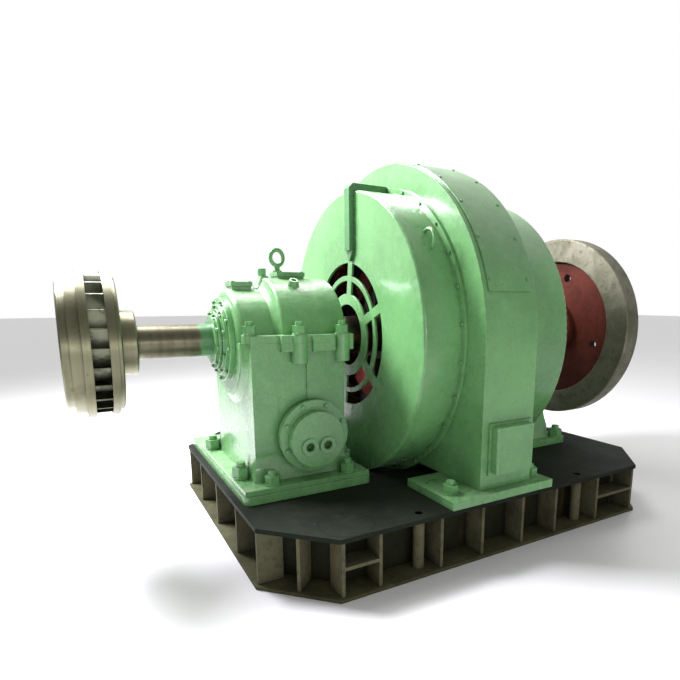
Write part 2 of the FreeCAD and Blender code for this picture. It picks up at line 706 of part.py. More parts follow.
def rear_pedestal_cap():
    """Cast upper half of the rear pedestal."""
    x0, x1 = rear_x0 + 8, rear_end - 8
    parts = [above(rear_barrel()), box(x0, x1, -rear_hw, rear_hw, axis_z, axis_z + flange_t * 0.8)]
    for side in (-1, 1):
        parts += [post(cap_bolt_r, x, side * y, axis_z, axis_z + cap_bolt_high) for x, y in rear_bolt_spots]
    return rear_bored(join(parts))


def rear_cap_bolts():
    """Nuts and stud ends of the rear pedestal's cap."""
    return Part.makeCompound([stud(x, side * y, axis_z + cap_bolt_high, cap_nut)
                              for side in (-1, 1) for x, y in rear_bolt_spots])


def rear_foot_bolts():
    """Hold-down nuts of the rear pedestal."""
    return Part.makeCompound([stud(x, y, ped_top, rear_nut) for x, y in rear_foot_spots])


# ---- generator -----------------------------------------------------------------------------------------
def stator_casing():
    """Inverted-U casing: round top, straight columns and a round lower part, bored for the core."""
    z0 = base_top + foot_t
    top = above(rod(case_r, case_x0, case_x1))
    legs = box(case_x0, case_x1, -case_r, case_r, z0, axis_z)
    whole = join([top, legs, rod(case_low_r, case_x0, case_x1)])
    return whole.cut(rod(core_seat_r, case_x0 - 1, case_x1 + 1))


def casing_cover_band():
    """Cover sheet round the casing, from one horizontal seam over the top to the other."""
    x0, x1 = case_x0 + band_in[0], case_x1 - band_in[1]
    z = axis_z + case_r * math.sin(math.radians(band_rise))
    return ring(case_r + band_t, case_r, x0, x1).common(box(x0 - 1, x1 + 1, -base_w, base_w, z, 3000))


def stator_foot_plates():
    """Foot plates under the two columns."""
    half = base_w / 2
    return Part.makeCompound([
        box(foot_mid - foot_l / 2, foot_mid + foot_l / 2, min(s * half, s * (half - foot_in)),
            max(s * half, s * (half - foot_in)), base_top, base_top + foot_t) for s in (-1, 1)])


def stator_foot_bolts():
    """Hold-down nuts of the stator feet, outside the columns."""
    xs = (foot_mid - foot_l / 2 + foot_bolt_in[0], foot_mid + foot_l / 2 - foot_bolt_in[1])
    y = base_w / 2 - foot_bolt_side
    return Part.makeCompound([stud(x, s * y, base_top + foot_t, stator_nut)
                              for x in xs for s in (-1, 1)])


def drum_face(x_face, s):
    """Round face plate of an end drum with its vent opening and rounded edge (s points into the drum)."""
    edge = drum_edge
    return turned([(x_face, vent_r), (x_face, drum_r - edge),
                   (x_face + s * edge * 0.29, drum_r - edge * 0.29, "via"), (x_face + s * edge, drum_r),
                   (x_face + s * drum_t, drum_r), (x_face + s * drum_t, vent_r)])


def drum_wall(x_face, x_flange):
    """Rolled wall of an end drum with its bolted flange."""
    s = 1 if x_flange > x_face else -1
    x0 = x_face + s * drum_t
    lip = x_flange - s * drum_flange_t
    return turned([(x0, drum_r), (lip, drum_r), (lip, drum_flange_r), (x_flange, drum_flange_r),
                   (x_flange, drum_r - drum_t), (x0, drum_r - drum_t)])


def grille(x_face, s):
    """Vent grille: rings and spokes standing in the drum's opening."""
    x0, x1 = sorted((x_face, x_face + s * grille_t))
    parts = [ring(r1, r0, x0, x1) for r0, r1 in vent_ring]
    inner = vent_ring[-1][0] + 10
    spoke = box(x0, x1, -spoke_w / 2, spoke_w / 2, axis_z + inner, axis_z + vent_r)
    reach = rod(vent_r, x0, x1)
    parts += [one.common(reach) for one in around(spoke, spoke_count, spoke_turn)]
    return join(parts)


def stator_core():
    """Laminated core in the casing's seat."""
    return ring(core_seat_r, core_bore_r, case_mid - core_w / 2, case_mid + core_w / 2)


def stator_windings():
    """Winding overhangs at both ends of the core."""
    r0, r1 = winding_r
    shapes = []
    for s in (-1, 1):
        x = case_mid + s * core_w / 2
        far = x + s * winding_l
        shapes.append(turned([(x, r0), (x, r1), (far - s * 20, r1), (far, r1 - 22), (far, r0 + 14),
                              (far - s * 12, r0)]))
    return Part.makeCompound(shapes)


def conduit():
    """Cable duct over the front drum: back from its flange, down its face, to a point above the vent."""
    top = axis_z + drum_r + duct_t
    x0 = drum_x - duct_t
    y0, y1 = duct_y - duct_w / 2, duct_y + duct_w / 2
    low = axis_z + vent_r + duct_tail
    down = box(x0, drum_x, y0, y1, low, top)
    over = box(x0, case_x0 - drum_flange_t, y0, y1, top - 2 * duct_t, top)
    corner = [Vec(x0 - 1, y0 - 5, top + 1), Vec(x0 + duct_chamfer, y0 - 5, top + 1),
              Vec(x0 - 1, y0 - 5, top - duct_chamfer), Vec(x0 - 1, y0 - 5, top + 1)]
    chamfer = Part.Face(Part.makePolygon(corner)).extrude(Vec(0, duct_w + 10, 0))
    tip_z = axis_z + vent_r + 4
    head = (y0 - duct_spread, low)
    arrow = [Vec(drum_x, y, z) for y, z in (head, (y1 + duct_spread, low),
                                            (duct_y + 2, tip_z), (duct_y - 2, tip_z), head)]
    tip = Part.Face(Part.makePolygon(arrow)).extrude(Vec(-duct_t * 0.6, 0, 0))
    return join([down.fuse(over).cut(chamfer), tip]).cut(rod(drum_r, drum_x, case_x0))


def lifting_lugs():
    """Round-bar loops welded on the front drum's sides."""
    loop = Part.makeTorus(lug_r, lug_bar, Vec(drum_x + lug_in, 0, axis_z + drum_r - 2), Vec(1, 0, 0))
    lugs = []
    for side in (-1, 1):
        one = loop.copy()
        one.rotate(Vec(0, 0, axis_z), Vec(1, 0, 0), side * lug_angle)
        lugs.append(one.cut(rod(drum_r, drum_x, case_x0)))
    return Part.makeCompound(lugs)


def terminal_box():
    """Back plate of the terminal box on the front column."""
    z = base_top + foot_t + lid_up
    x0, x1 = case_x0 + term_side[0], case_x1 - term_side[1]
    return box(x0, x1, -case_r - term_t, -case_r, z - term_rim[0], z + lid_h + term_rim[0])


def terminal_lid():
    """Raised lid of the terminal box with rounded upright edges."""
    y1 = -case_r - term_t
    z = base_top + foot_t + lid_up
    x0, x1 = case_x0 + term_side[0] + term_rim[0], case_x1 - term_side[1] - term_rim[1]
    lid = box(x0, x1, y1 - lid_t, y1, z, z + lid_h)
    outer = [e for e in lid.Edges if e.CenterOfMass.y < y1 - 1]
    upright = [e for e in outer if abs(e.tangentAt(e.FirstParameter).z) > 0.9]
    return lid.makeFillet(lid_round, upright)


# ---- rotor ---------------------------------------------------------------------------------------------
def shaft():
    """Stepped shaft from the runner to the flywheel."""
    step = ped_x0 + shaft_step
    tail = rear_end - 8
    end = wheel_x + wheel_w + shaft_tail_out
    bevel = shaft_chamfer
    return turned([(nut_x, 0), (nut_x, shaft_thin_r), (step, shaft_thin_r), (step, shaft_r), (tail, shaft_r),
                   (tail, shaft_tail_r), (end - bevel, shaft_tail_r), (end, shaft_tail_r - bevel), (end, 0)])


def crown_curve():
    """Ends and middle of the crown's water face."""
    return (inlet_x1, runner_inlet_r), (inlet_x1 - 20, 160.0), (band_x0 + 33, nose_r)


def band_curve():
    """Ends and middle of the band's water face."""
    return (inlet_x0, runner_inlet_r), (inlet_x0 - 34, band_eye_r + 22), (band_x0, band_eye_r)


def runner_crown():
    """Crown disc with its two steps, hub and curved water face."""
    a, m, b = crown_curve()
    x2 = crown_x1 - crown_ring_w[1]
    return turned([(hub_x1, shaft_thin_r), (hub_x1, hub_r - 5), (hub_x1 - 5, hub_r), (crown_x1 + 8, hub_r),
                   (crown_x1, hub_r + 8), (crown_x1, crown_ring_r[1] - 4), (crown_x1 - 4, crown_ring_r[1]),
                   (x2, crown_ring_r[1]), (x2, crown_ring_r[0]), (inlet_x1, crown_ring_r[0]),
                   a, m + ("via",), b, (b[0] - 15, b[1] - 12), (b[0] - 15, shaft_thin_r)])


def runner_band():
    """Band with its stepped sealing rings and curved water face."""
    a, m, b = band_curve()
    w1, w2, w3 = band_ring_w
    r1, r2, r3 = band_ring_r
    x1 = inlet_x0 - w1
    x2 = x1 - w2
    return turned([a, (inlet_x0, r1), (x1, r1), (x1, r2), (x2, r2), (x2, r3), (band_x0 + 5, r3),
                   (band_x0, r3 - 5), b, m + ("via",)])


def polar(r, degrees, x=0.0):
    """Point at a radius and angle about the shaft axis."""
    a = math.radians(degrees)
    return Vec(x, r * math.sin(a), axis_z + r * math.cos(a))


def runner_vanes():
    """Backward-curved vanes between the crown and the band."""
    a, m, b = crown_curve()
    c, n, d = band_curve()
    water = turned([a, m + ("via",), b, d, n + ("via",), c])
    x = band_x0 - 10
    near = [(vane_root_r, 0.0), (180.0, vane_turn[0]), (runner_inlet_r + 12, vane_turn[1])]
    swing = [math.degrees(vane_t / r) for r, _ in near]
    p = [polar(r, t, x) for r, t in near]
    q = [polar(r, t + s, x) for (r, t), s in zip(near, swing)]
    wire = Part.Wire([Part.Arc(p[0], p[1], p[2]).toShape(), Part.makeLine(p[2], q[2]),
                      Part.Arc(q[2], q[1], q[0]).toShape(), Part.makeLine(q[0], p[0])])
    vane = Part.Face(wire).extrude(Vec(inlet_x1 - x + 10, 0, 0)).common(water)
    return Part.makeCompound(around(vane, vane_count))


def runner_nut():
    """Domed nut that holds the runner on the shaft's end."""
    x, r, w = nut_x, runner_nut_r, runner_nut_w
    return turned([(x, 0), (x, r), (x - w * 0.7, r - 8, "via"), (x - w, r - 32), (x - w, 0)])


def rotor_core():
    """Rotor body on the shaft with its salient poles."""
    x0, x1 = case_mid - core_w / 2, case_mid + core_w / 2
    hub = ring(rotor_hub_r, shaft_r, x0 - 6, x1 + 6)
    inner = rotor_r - pole_shoe_t
    neck = box(x0, x1, -pole_hw, pole_hw, axis_z + rotor_hub_r - 12, axis_z + inner + 6)
    shoe = ring(rotor_r, inner, x0, x1)
    shoe = shoe.common(box(x0, x1, -pole_shoe_hw, pole_shoe_hw, axis_z, axis_z + rotor_r + 10))
    return join([hub] + around(neck.fuse(shoe), pole_count, 30.0))


def rotor_coils():
    """Field coils round the poles."""
    x0, x1 = case_mid - core_w / 2, case_mid + core_w / 2
    z0, z1 = axis_z + coil_r[0], axis_z + coil_r[1]
    coil = box(x0 - coil_end, x1 + coil_end, -coil_hw, coil_hw, z0, z1)
    coil = coil.cut(box(x0, x1, -pole_hw, pole_hw, z0 - 20, z1 + 20))
    return Part.makeCompound(around(coil, pole_count, 30.0))


def rotor_fans():
    """Fan rings on the rotor hub, one at either end."""
    shapes = []
    for s in (-1, 1):
        x = case_mid + s * (core_w / 2 + 6)
        disc_x0, disc_x1 = sorted((x, x + s * fan_t))
        disc = ring(rotor_hub_r, shaft_r, disc_x0, disc_x1)
        b0, b1 = sorted((x + s * fan_t, x + s * (fan_t + fan_blade)))
        blade = box(b0, b1, -4, 4, axis_z + 120, axis_z + rotor_hub_r - 4)
        shapes.append(join([disc] + around(blade, fan_count)))
    return Part.makeCompound(shapes)


def flywheel_rim():
    """Machined rim with light bevels."""
    x0, x1, bevel, inner, edge = wheel_x, wheel_x + wheel_w, wheel_bevel, wheel_rim_in, wheel_edge
    return turned([(x0, inner + edge), (x0, wheel_r - bevel), (x0 + bevel, wheel_r), (x1 - bevel, wheel_r),
                   (x1, wheel_r - bevel), (x1, inner + edge), (x1 - edge, inner), (x0 + edge, inner)])


def flywheel_web():
    """Painted web with its round holes."""
    x0, x1 = wheel_x + wheel_recess, wheel_x + wheel_w - wheel_recess
    web = ring(wheel_rim_in, wheel_hub_r, x0, x1)
    hole = rod(wheel_hole_r, x0 - 1, x1 + 1, 0, axis_z + wheel_hole_at)
    for one in around(hole, wheel_hole_n, wheel_hole_turn):
        web = web.cut(one)
    return web


def flywheel_hub():
    """Hub that stands out of the web on both sides."""
    return ring(wheel_hub_r, shaft_tail_r, wheel_x - wheel_hub_out, wheel_x + wheel_w + wheel_hub_out)


def flywheel_nut():
    """Round locking nut behind the flywheel's hub."""
    x = wheel_x + wheel_w + wheel_hub_out
    return ring(wheel_nut_r, shaft_tail_r, x, x + wheel_nut_w)


NODES = {
    "base_top_plate": base_top_plate,
    "base_bottom_flange": base_bottom_flange,
    "base_web": base_web,
    "base_ribs_near": lambda: base_ribs_long(-1),
    "base_ribs_far": lambda: base_ribs_long(1),
    "base_ribs_runner_end": lambda: base_ribs_end(-1),
    "base_ribs_flywheel_end": lambda: base_ribs_end(1),
    "base_shelves": base_shelves,
    "base_cross_beams": base_cross_beams,
    "anchor_sleeves": anchor_sleeves,
    "front_pedestal_plate": front_pedestal_plate,
    "front_pedestal_body": front_pedestal_body,
    "front_pedestal_cap": front_pedestal_cap,
    "front_bush": lambda: bush(ped_x0 + bush_in, ped_x1 - bush_in),
    "front_seal_rings": front_seal_rings,
    "front_back_seal": lambda: back_seal_ring(ped_x1, 160),
    "cap_covers": cap_covers,
    "eye_bolt": eye_bolt,
    "cap_stub": cap_stub,
    "front_cap_bolts": front_cap_bolts,
    "front_foot_bolts": front_foot_bolts,
    "cooler_flange": cooler_flange,
    "cooler_cover": cooler_cover,
    "rear_pedestal_plate": rear_pedestal_plate,
    "rear_pedestal_body": rear_pedestal_body,
    "rear_pedestal_cap": rear_pedestal_cap,
    "rear_bush": lambda: bush(rear_x0 + rear_bush_in, rear_end - rear_bush_in),
    "rear_cap_bolts": rear_cap_bolts,
    "rear_foot_bolts": rear_foot_bolts,
    "stator_casing": stator_casing,
    "casing_cover_band": casing_cover_band,
    "stator_foot_plates": stator_foot_plates,
    "stator_foot_bolts": stator_foot_bolts,
    "front_drum_face": lambda: drum_face(drum_x, 1),
    "front_drum_wall": lambda: drum_wall(drum_x, case_x0),
    "front_vent_grille": lambda: grille(drum_x, 1),
    "rear_drum_face": lambda: drum_face(rear_x1, -1),
    "rear_drum_wall": lambda: drum_wall(rear_x1, case_x1),
    "rear_vent_grille": lambda: grille(rear_x1, -1),
    "stator_core": stator_core,
    "stator_windings": stator_windings,
    "conduit": conduit,
    "lifting_lugs": lifting_lugs,
    "terminal_box": terminal_box,
    "terminal_lid": terminal_lid,
    "shaft": shaft,
    "runner_crown": runner_crown,
    "runner_band": runner_band,
    "runner_vanes": runner_vanes,
    "runner_nut": runner_nut,
    "rotor_core": rotor_core,
    "rotor_coils": rotor_coils,
    "rotor_fans": rotor_fans,
    "flywheel_rim": flywheel_rim,
    "flywheel_web": flywheel_web,
    "flywheel_hub": flywheel_hub,
    "flywheel_nut": flywheel_nut,
}

os.makedirs("parts", exist_ok=True)
for name, make in NODES.items():
    piece = make()
    piece.exportStep("parts/" + name + ".step")
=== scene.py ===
"""Looks of a horizontal hydroelectric generator set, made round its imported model.

The set is an overhung water-wheel runner, a thrust pedestal, an air-cooled generator, a rear pedestal and a
flywheel on one ribbed base. Metres, +Z up, the shaft along X, the floor at Z = 0.
"""
import logging
import math
from dataclasses import dataclass
from enum import Enum
from typing import Any, Iterable, Sequence

import bmesh
import bpy
from mathutils import Matrix, Vector


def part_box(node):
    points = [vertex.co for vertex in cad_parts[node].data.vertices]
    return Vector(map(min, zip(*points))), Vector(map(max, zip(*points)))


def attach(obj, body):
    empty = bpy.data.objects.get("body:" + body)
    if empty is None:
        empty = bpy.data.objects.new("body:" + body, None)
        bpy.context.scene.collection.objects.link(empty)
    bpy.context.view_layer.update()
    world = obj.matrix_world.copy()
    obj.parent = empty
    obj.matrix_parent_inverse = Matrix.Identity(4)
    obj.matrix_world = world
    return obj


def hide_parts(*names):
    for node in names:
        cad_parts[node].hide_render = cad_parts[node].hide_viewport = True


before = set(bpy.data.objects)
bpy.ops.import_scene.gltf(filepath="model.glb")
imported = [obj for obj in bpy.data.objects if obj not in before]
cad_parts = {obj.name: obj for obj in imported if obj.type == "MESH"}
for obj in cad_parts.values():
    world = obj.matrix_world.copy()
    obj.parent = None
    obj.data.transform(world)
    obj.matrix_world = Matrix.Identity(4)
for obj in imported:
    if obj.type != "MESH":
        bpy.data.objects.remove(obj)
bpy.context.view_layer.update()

LOG = logging.getLogger("generator_set")
PAINT_AHEAD = 0.045       # painted shaft in front of the seal
PAINT_INSIDE = 0.1        # painted shaft inside the seal
PAINT_SLOT = "green_paint"
WINDING_SLOT = "winding"

Colour = tuple[float, float, float]
Verts = list[bmesh.types.BMVert]


class Body(Enum):
    """The two bodies that pieces ride on."""

    FRAME = "frame"
    ROTOR = "rotor"


class Cast(Enum):
    """How the skin under a coat of paint was made."""

    PLATE = "rolled plate"
    SAND = "sand casting"


def srgb(red: int, green: int, blue: int) -> Colour:
    """Turn a paint chart's 0 to 255 colour into linear light.

    Args:
        red: Red, 0 to 255.
        green: Green, 0 to 255.
        blue: Blue, 0 to 255.

    Returns:
        The linear colour.
    """

    def linear(part: int) -> float:
        """Return one channel in linear light."""
        c = part / 255
        return c / 12.92 if c <= 0.04045 else ((c + 0.055) / 1.055) ** 2.4

    return linear(red), linear(green), linear(blue)


# ---- shader maths --------------------------------------------------------------------------------------
class Signal:
    """One shader output that takes part in Python arithmetic."""

    def __init__(self, graph: "Graph", socket: bpy.types.NodeSocket) -> None:
        """Wrap a socket of a graph's node."""
        self.graph = graph
        self.socket = socket

    def maths(self, operation: str, *parts: Any) -> "Signal":
        """Add a Math node.

        Args:
            operation: The Math node's operation.
            parts: Its inputs in order, numbers or signals.

        Returns:
            The node's output.
        """
        return self.graph.node("ShaderNodeMath", {"operation": operation}, dict(enumerate(parts)))

    def __add__(self, other: Any) -> "Signal":
        """Return self + other."""
        return self.maths("ADD", self, other)

    __radd__ = __add__

    def __mul__(self, other: Any) -> "Signal":
        """Return self * other."""
        return self.maths("MULTIPLY", self, other)

    __rmul__ = __mul__

    def __sub__(self, other: Any) -> "Signal":
        """Return self - other."""
        return self.maths("SUBTRACT", self, other)

    def __rsub__(self, other: Any) -> "Signal":
        """Return other - self."""
        return self.maths("SUBTRACT", other, self)

    def __pow__(self, other: Any) -> "Signal":
        """Return self raised to a power."""
        return self.maths("POWER", self, other)

    def __abs__(self) -> "Signal":
        """Return the size of self."""
        return self.maths("ABSOLUTE", self)

    def rises(self, low: float, high: float) -> "Signal":
        """Step smoothly from 0 to 1, or from 1 to 0 where low is above high.

        Args:
            low: Where the step starts.
            high: Where it ends.

        Returns:
            The stepped signal.
        """
        settings = {"interpolation_type": "SMOOTHSTEP"}
        if low <= high:
            return self.graph.node("ShaderNodeMapRange", settings,
                                   {0: self, 1: low, 2: high, 3: 0.0, 4: 1.0})
        return self.graph.node("ShaderNodeMapRange", settings, {0: self, 1: high, 2: low, 3: 1.0, 4: 0.0})


class Graph:
    """The nodes of a node tree."""

    def __init__(self, tree: bpy.types.NodeTree) -> None:
        """Work on a node tree."""
        self.tree = tree

    def feed(self, socket: bpy.types.NodeSocket, value: Any) -> None:
        """Link a signal to a socket, or set the socket's own value.

        Args:
            socket: The socket that is fed.
            value: A signal, a number, a vector or a colour.
        """
        if isinstance(value, Signal):
            self.tree.links.new(value.socket, socket)
        elif isinstance(value, tuple) and len(value) == 3 and len(socket.default_value) == 4:
            socket.default_value = (*value, 1.0)
        else:
            socket.default_value = value

    def node(self, kind: str, settings: dict[str, Any] | None = None, inputs: dict[Any, Any] | None = None,
             out: Any = 0) -> Signal:
        """Add any node.

        Args:
            kind: The node's type.
            settings: Its properties, which are set first.
            inputs: Values or signals by socket name or number.
            out: The name or number of the wanted output.

        Returns:
            The wanted output.
        """
        node = self.tree.nodes.new(kind)
        for name, value in (settings or {}).items():
            setattr(node, name, value)
        for name, value in (inputs or {}).items():
            self.feed(node.inputs[name], value)
        return Signal(self, node.outputs[out])


class Surface(Graph):
    """A material's nodes, ending in one Principled shader."""

    def __init__(self, name: str) -> None:
        """Start a material with an empty graph.

        Args:
            name: The material's name.
        """
        self.material = bpy.data.materials.new(name)
        self.material.use_nodes = True
        super().__init__(self.material.node_tree)
        self.tree.nodes.clear()
        self.shader = self.tree.nodes.new("ShaderNodeBsdfPrincipled")
        output = self.tree.nodes.new("ShaderNodeOutputMaterial")
        self.tree.links.new(self.shader.outputs[0], output.inputs[0])
        self.place = self.node("ShaderNodeTexCoord", out="Object")

    def mix(self, share: Any, under: Any, over: Any) -> Signal:
        """Lay one colour over another.

        Args:
            share: How much of the upper colour shows, 0 to 1.
            under: The lower colour.
            over: The upper colour.

        Returns:
            The mixed colour.
        """
        settings = {"data_type": "RGBA", "blend_type": "MIX", "clamp_factor": True}
        return self.node("ShaderNodeMix", settings, {0: share, 6: under, 7: over}, out=2)

    def noise(self, scale: float, detail: float = 3.0, place: Signal | None = None, rough: float = 0.55,
              bend: float = 0.0) -> Signal:
        """Return cloudy noise, with scale in lumps per metre."""
        return self.node("ShaderNodeTexNoise", {}, {"Vector": place or self.place, "Scale": scale,
                                                    "Detail": detail, "Roughness": rough, "Distortion": bend})

    def line_noise(self, along: Signal, scale: float, detail: float = 2.0) -> Signal:
        """Return noise that varies along one number only, such as turning marks."""
        return self.node("ShaderNodeTexNoise", {"noise_dimensions": "1D"},
                         {"W": along, "Scale": scale, "Detail": detail})

    def cells(self, scale: float) -> Signal:
        """Return the distance to the nearest of scattered points."""
        return self.node("ShaderNodeTexVoronoi", {}, {"Vector": self.place, "Scale": scale})

    def stretched(self, x: float, y: float, z: float) -> Signal:
        """Return the place with each direction scaled."""
        return self.node("ShaderNodeMapping", {}, {"Vector": self.place, "Scale": (x, y, z)})

    def parts(self, vector: Signal) -> tuple[Signal, Signal, Signal]:
        """Split a vector into its three numbers.

        Args:
            vector: The vector.

        Returns:
            Its X, Y and Z.
        """
        first = self.node("ShaderNodeSeparateXYZ", {}, {0: vector})
        outs = first.socket.node.outputs
        return first, Signal(self, outs[1]), Signal(self, outs[2])

    def facing(self) -> tuple[Signal, Signal, Signal]:
        """Return the surface's direction as three numbers."""
        return self.parts(self.node("ShaderNodeNewGeometry", out="Normal"))

    def tool_path(self, axis_height: float) -> tuple[Signal, Signal]:
        """Follow a lathe tool: along the shaft on round walls, and out from it on flat ends.

        Args:
            axis_height: The shaft's height.

        Returns:
            The place along the shaft, and the place along the tool's way.
        """
        x, y, z = self.parts(self.place)
        height = z - axis_height
        radius = (y * y + height * height) ** 0.5
        across, _, _ = self.facing()
        on_face = abs(across).rises(0.6, 0.8)
        return x, x + on_face * (radius - x)

    def edges(self, radius: float) -> tuple[Signal, Signal]:
        """Round the sharp edges in shading.

        Args:
            radius: The round's radius in metres.

        Returns:
            The rounded direction, and a mask that is 1 along the edges.
        """
        soft = self.node("ShaderNodeBevel", {"samples": 4}, {"Radius": radius})
        true = self.node("ShaderNodeNewGeometry", out="Normal")
        same = self.node("ShaderNodeVectorMath", {"operation": "DOT_PRODUCT"}, {0: soft, 1: true},
                         out="Value")
        return soft, (1.0 - same).rises(0.01, 0.16)

    def corners(self, reach: float) -> Signal:
        """Return a mask that is 1 deep in corners, used for painted shade and grime there."""
        open_share = self.node("ShaderNodeAmbientOcclusion", {"samples": 6}, {"Distance": reach}, out="AO")
        return open_share.rises(0.75, 0.2)

    def finish(self, colour: Any, rough: Any, height: Signal | None = None, under: Signal | None = None,
               metal: Any = 0.0, coat: float = 0.0, shine: float = 0.5) -> bpy.types.Material:
        """Feed the shader.

        Args:
            colour: Base colour.
            rough: Roughness.
            height: Relief in metres.
            under: The direction that the relief stands on.
            metal: Metallic.
            coat: Clear coat weight.
            shine: Specular level.

        Returns:
            The finished material.
        """
        sockets = self.shader.inputs
        self.feed(sockets["Base Color"], colour)
        self.feed(sockets["Roughness"], rough)
        self.feed(sockets["Metallic"], metal)
        sockets["Coat Weight"].default_value = coat
        sockets["Specular IOR Level"].default_value = shine
        sockets["Coat Roughness"].default_value = 0.08
        if height is not None:
            inputs: dict[Any, Any] = {"Height": height, "Distance": 1.0, "Strength": 1.0}
            if under is not None:
                inputs["Normal"] = under
            under = self.node("ShaderNodeBump", {}, inputs)
        if under is not None:
            self.feed(sockets["Normal"], under)
        return self.material


# ---- finishes ------------------------------------------------------------------------------------------
def tint(colour: Colour, share: float, lift: float = 0.0) -> Colour:
    """Return a colour made darker or lighter by a share, and lifted by a little white."""
    red, green, blue = (min(1.0, c * share + lift) for c in colour)
    return red, green, blue


@dataclass(frozen=True)
class Enamel:
    """Brushed machine enamel over plate or cast iron."""

    name: str
    colour: Colour
    cast: Cast
    dust: float = 0.2
    round_edge: float = 0.004

    def make(self) -> bpy.types.Material:
        """Mix the paint: drifting tone, brush marks, dust, runs, painted shade in corners and bright edges
        that are wear and a painted highlight.

        Returns:
            The paint.
        """
        g = Surface(self.name)
        drift = g.noise(2.3, 3.0)
        brush = g.noise(24.0, 5.0)
        peel = g.noise(240.0, 2.0)
        runs = g.noise(1.0, 4.0, g.stretched(36.0, 36.0, 2.2))
        _, _, up = g.facing()
        soft, edge = g.edges(self.round_edge)
        dark = tint(self.colour, 0.74)
        pale = tint(self.colour, 1.16, 0.012)
        tone = g.mix(drift.rises(0.35, 0.68), dark, self.colour)
        tone = g.mix(brush.rises(0.52, 0.78) * 0.45, tone, pale)
        stain = runs.rises(0.6, 0.8) * (1.0 - abs(up)) * 0.3
        tone = g.mix(stain, tone, tint(self.colour, 0.5))
        dusty = up.rises(0.4, 0.95) * brush.rises(0.35, 0.62) * self.dust
        tone = g.mix(dusty, tone, srgb(176, 178, 158))
        # painted shade, partly grime: darker deep in corners
        tone = g.mix(g.corners(0.035) * 0.55, tone, tint(self.colour, 0.28))
        # painted highlight and wear: lighter along the edges, patchy with the brush marks
        tone = g.mix(edge * brush.rises(0.3, 0.6) * 0.4, tone, tint(self.colour, 1.5, 0.05))
        chips = g.cells(17.0).rises(0.07, 0.045) * brush.rises(0.5, 0.6)
        tone = g.mix(chips * 0.7, tone, srgb(58, 66, 54))
        rough = 0.2 + brush * 0.16 + dusty * 0.8 + stain * 0.3
        if self.cast is Cast.SAND:
            grain = g.noise(70.0, 6.0, rough=0.6)
            height = peel * 0.00025 + grain * 0.0016 + g.noise(9.0, 2.0) * 0.004
        else:
            height = peel * 0.00018 + g.noise(4.5, 2.0) * 0.006 + brush * 0.0005
        return g.finish(tone, rough, height - chips * 0.0003, soft, coat=0.35)


@dataclass(frozen=True)
class Turned:
    """Steel turned on a lathe about the shaft, oiled and tarnished."""

    name: str
    colour: Colour
    tarnish: Colour
    axis_height: float
    painted: tuple[float, float] | None = None
    paint: Colour = (0.0, 0.0, 0.0)

    def make(self) -> bpy.types.Material:
        """Mix the metal: tool marks round the shaft, tarnish bands and an oily bloom.

        Returns:
            The metal.
        """
        g = Surface(self.name)
        x, along = g.tool_path(self.axis_height)
        marks = g.line_noise(along, 1400.0, 1.0)
        bands = g.line_noise(along, 34.0, 3.0)
        bloom = g.noise(7.0, 6.0, bend=0.4)
        soft, edge = g.edges(0.002)
        tone = g.mix(bands.rises(0.38, 0.66), self.colour, tint(self.colour, 0.84))
        tone = g.mix(bloom.rises(0.5, 0.72) * 0.75, tone, self.tarnish)
        tone = g.mix(g.noise(60.0, 4.0).rises(0.62, 0.75) * 0.4, tone, tint(self.tarnish, 0.45))
        # painted highlight, partly worn bright edges: lighter along the edges
        tone = g.mix(edge * 0.5, tone, tint(self.colour, 1.4))
        # painted shade, partly grime: darker tarnish deep in corners
        tone = g.mix(g.corners(0.02) * 0.6, tone, tint(self.tarnish, 0.3))
        rough = 0.26 + bands * 0.16 + bloom.rises(0.5, 0.72) * 0.16
        relief = marks * 0.00012 + bands * 0.00006
        if self.painted is None:
            return g.finish(tone, rough, relief, soft, metal=1.0)
        first, last = self.painted
        wavy = x + g.noise(30.0, 3.0) * 0.02
        ragged = wavy.rises(first, first + 0.012) * wavy.rises(last, last - 0.002)
        skin = g.mix(g.noise(24.0, 4.0).rises(0.4, 0.7), self.paint, tint(self.paint, 0.7))
        return g.finish(g.mix(ragged, tone, skin), rough, relief, soft, metal=1.0 - ragged)


@dataclass(frozen=True)
class Iron:
    """Bare cast iron with a turned skin, blotched by handling and rust."""

    name: str
    colour: Colour
    blotch: Colour
    metal: float
    axis_height: float

    def make(self) -> bpy.types.Material:
        """Mix the iron: blotches at three scales, tool marks and fine rust.

        Returns:
            The iron.
        """
        g = Surface(self.name)
        _, along = g.tool_path(self.axis_height)
        marks = g.line_noise(along, 900.0, 2.0)
        cloud = g.noise(5.0, 8.0, rough=0.68, bend=0.6)
        spots = g.noise(34.0, 5.0, bend=0.3)
        soft, edge = g.edges(0.003)
        tone = g.mix(cloud.rises(0.42, 0.62), self.colour, self.blotch)
        tone = g.mix(spots.rises(0.56, 0.66) * 0.6, tone, tint(self.blotch, 0.4))
        tone = g.mix(g.noise(120.0, 3.0).rises(0.6, 0.7) * 0.35, tone, srgb(112, 78, 52))
        # painted highlight, partly worn edges: lighter along the edges
        tone = g.mix(edge * 0.5, tone, tint(self.colour, 1.5))
        rough = 0.36 + spots * 0.2 + cloud * 0.14
        relief = marks * 0.0001 + spots * 0.0002
        return g.finish(tone, rough, relief, soft, metal=self.metal - spots.rises(0.56, 0.66) * 0.4)


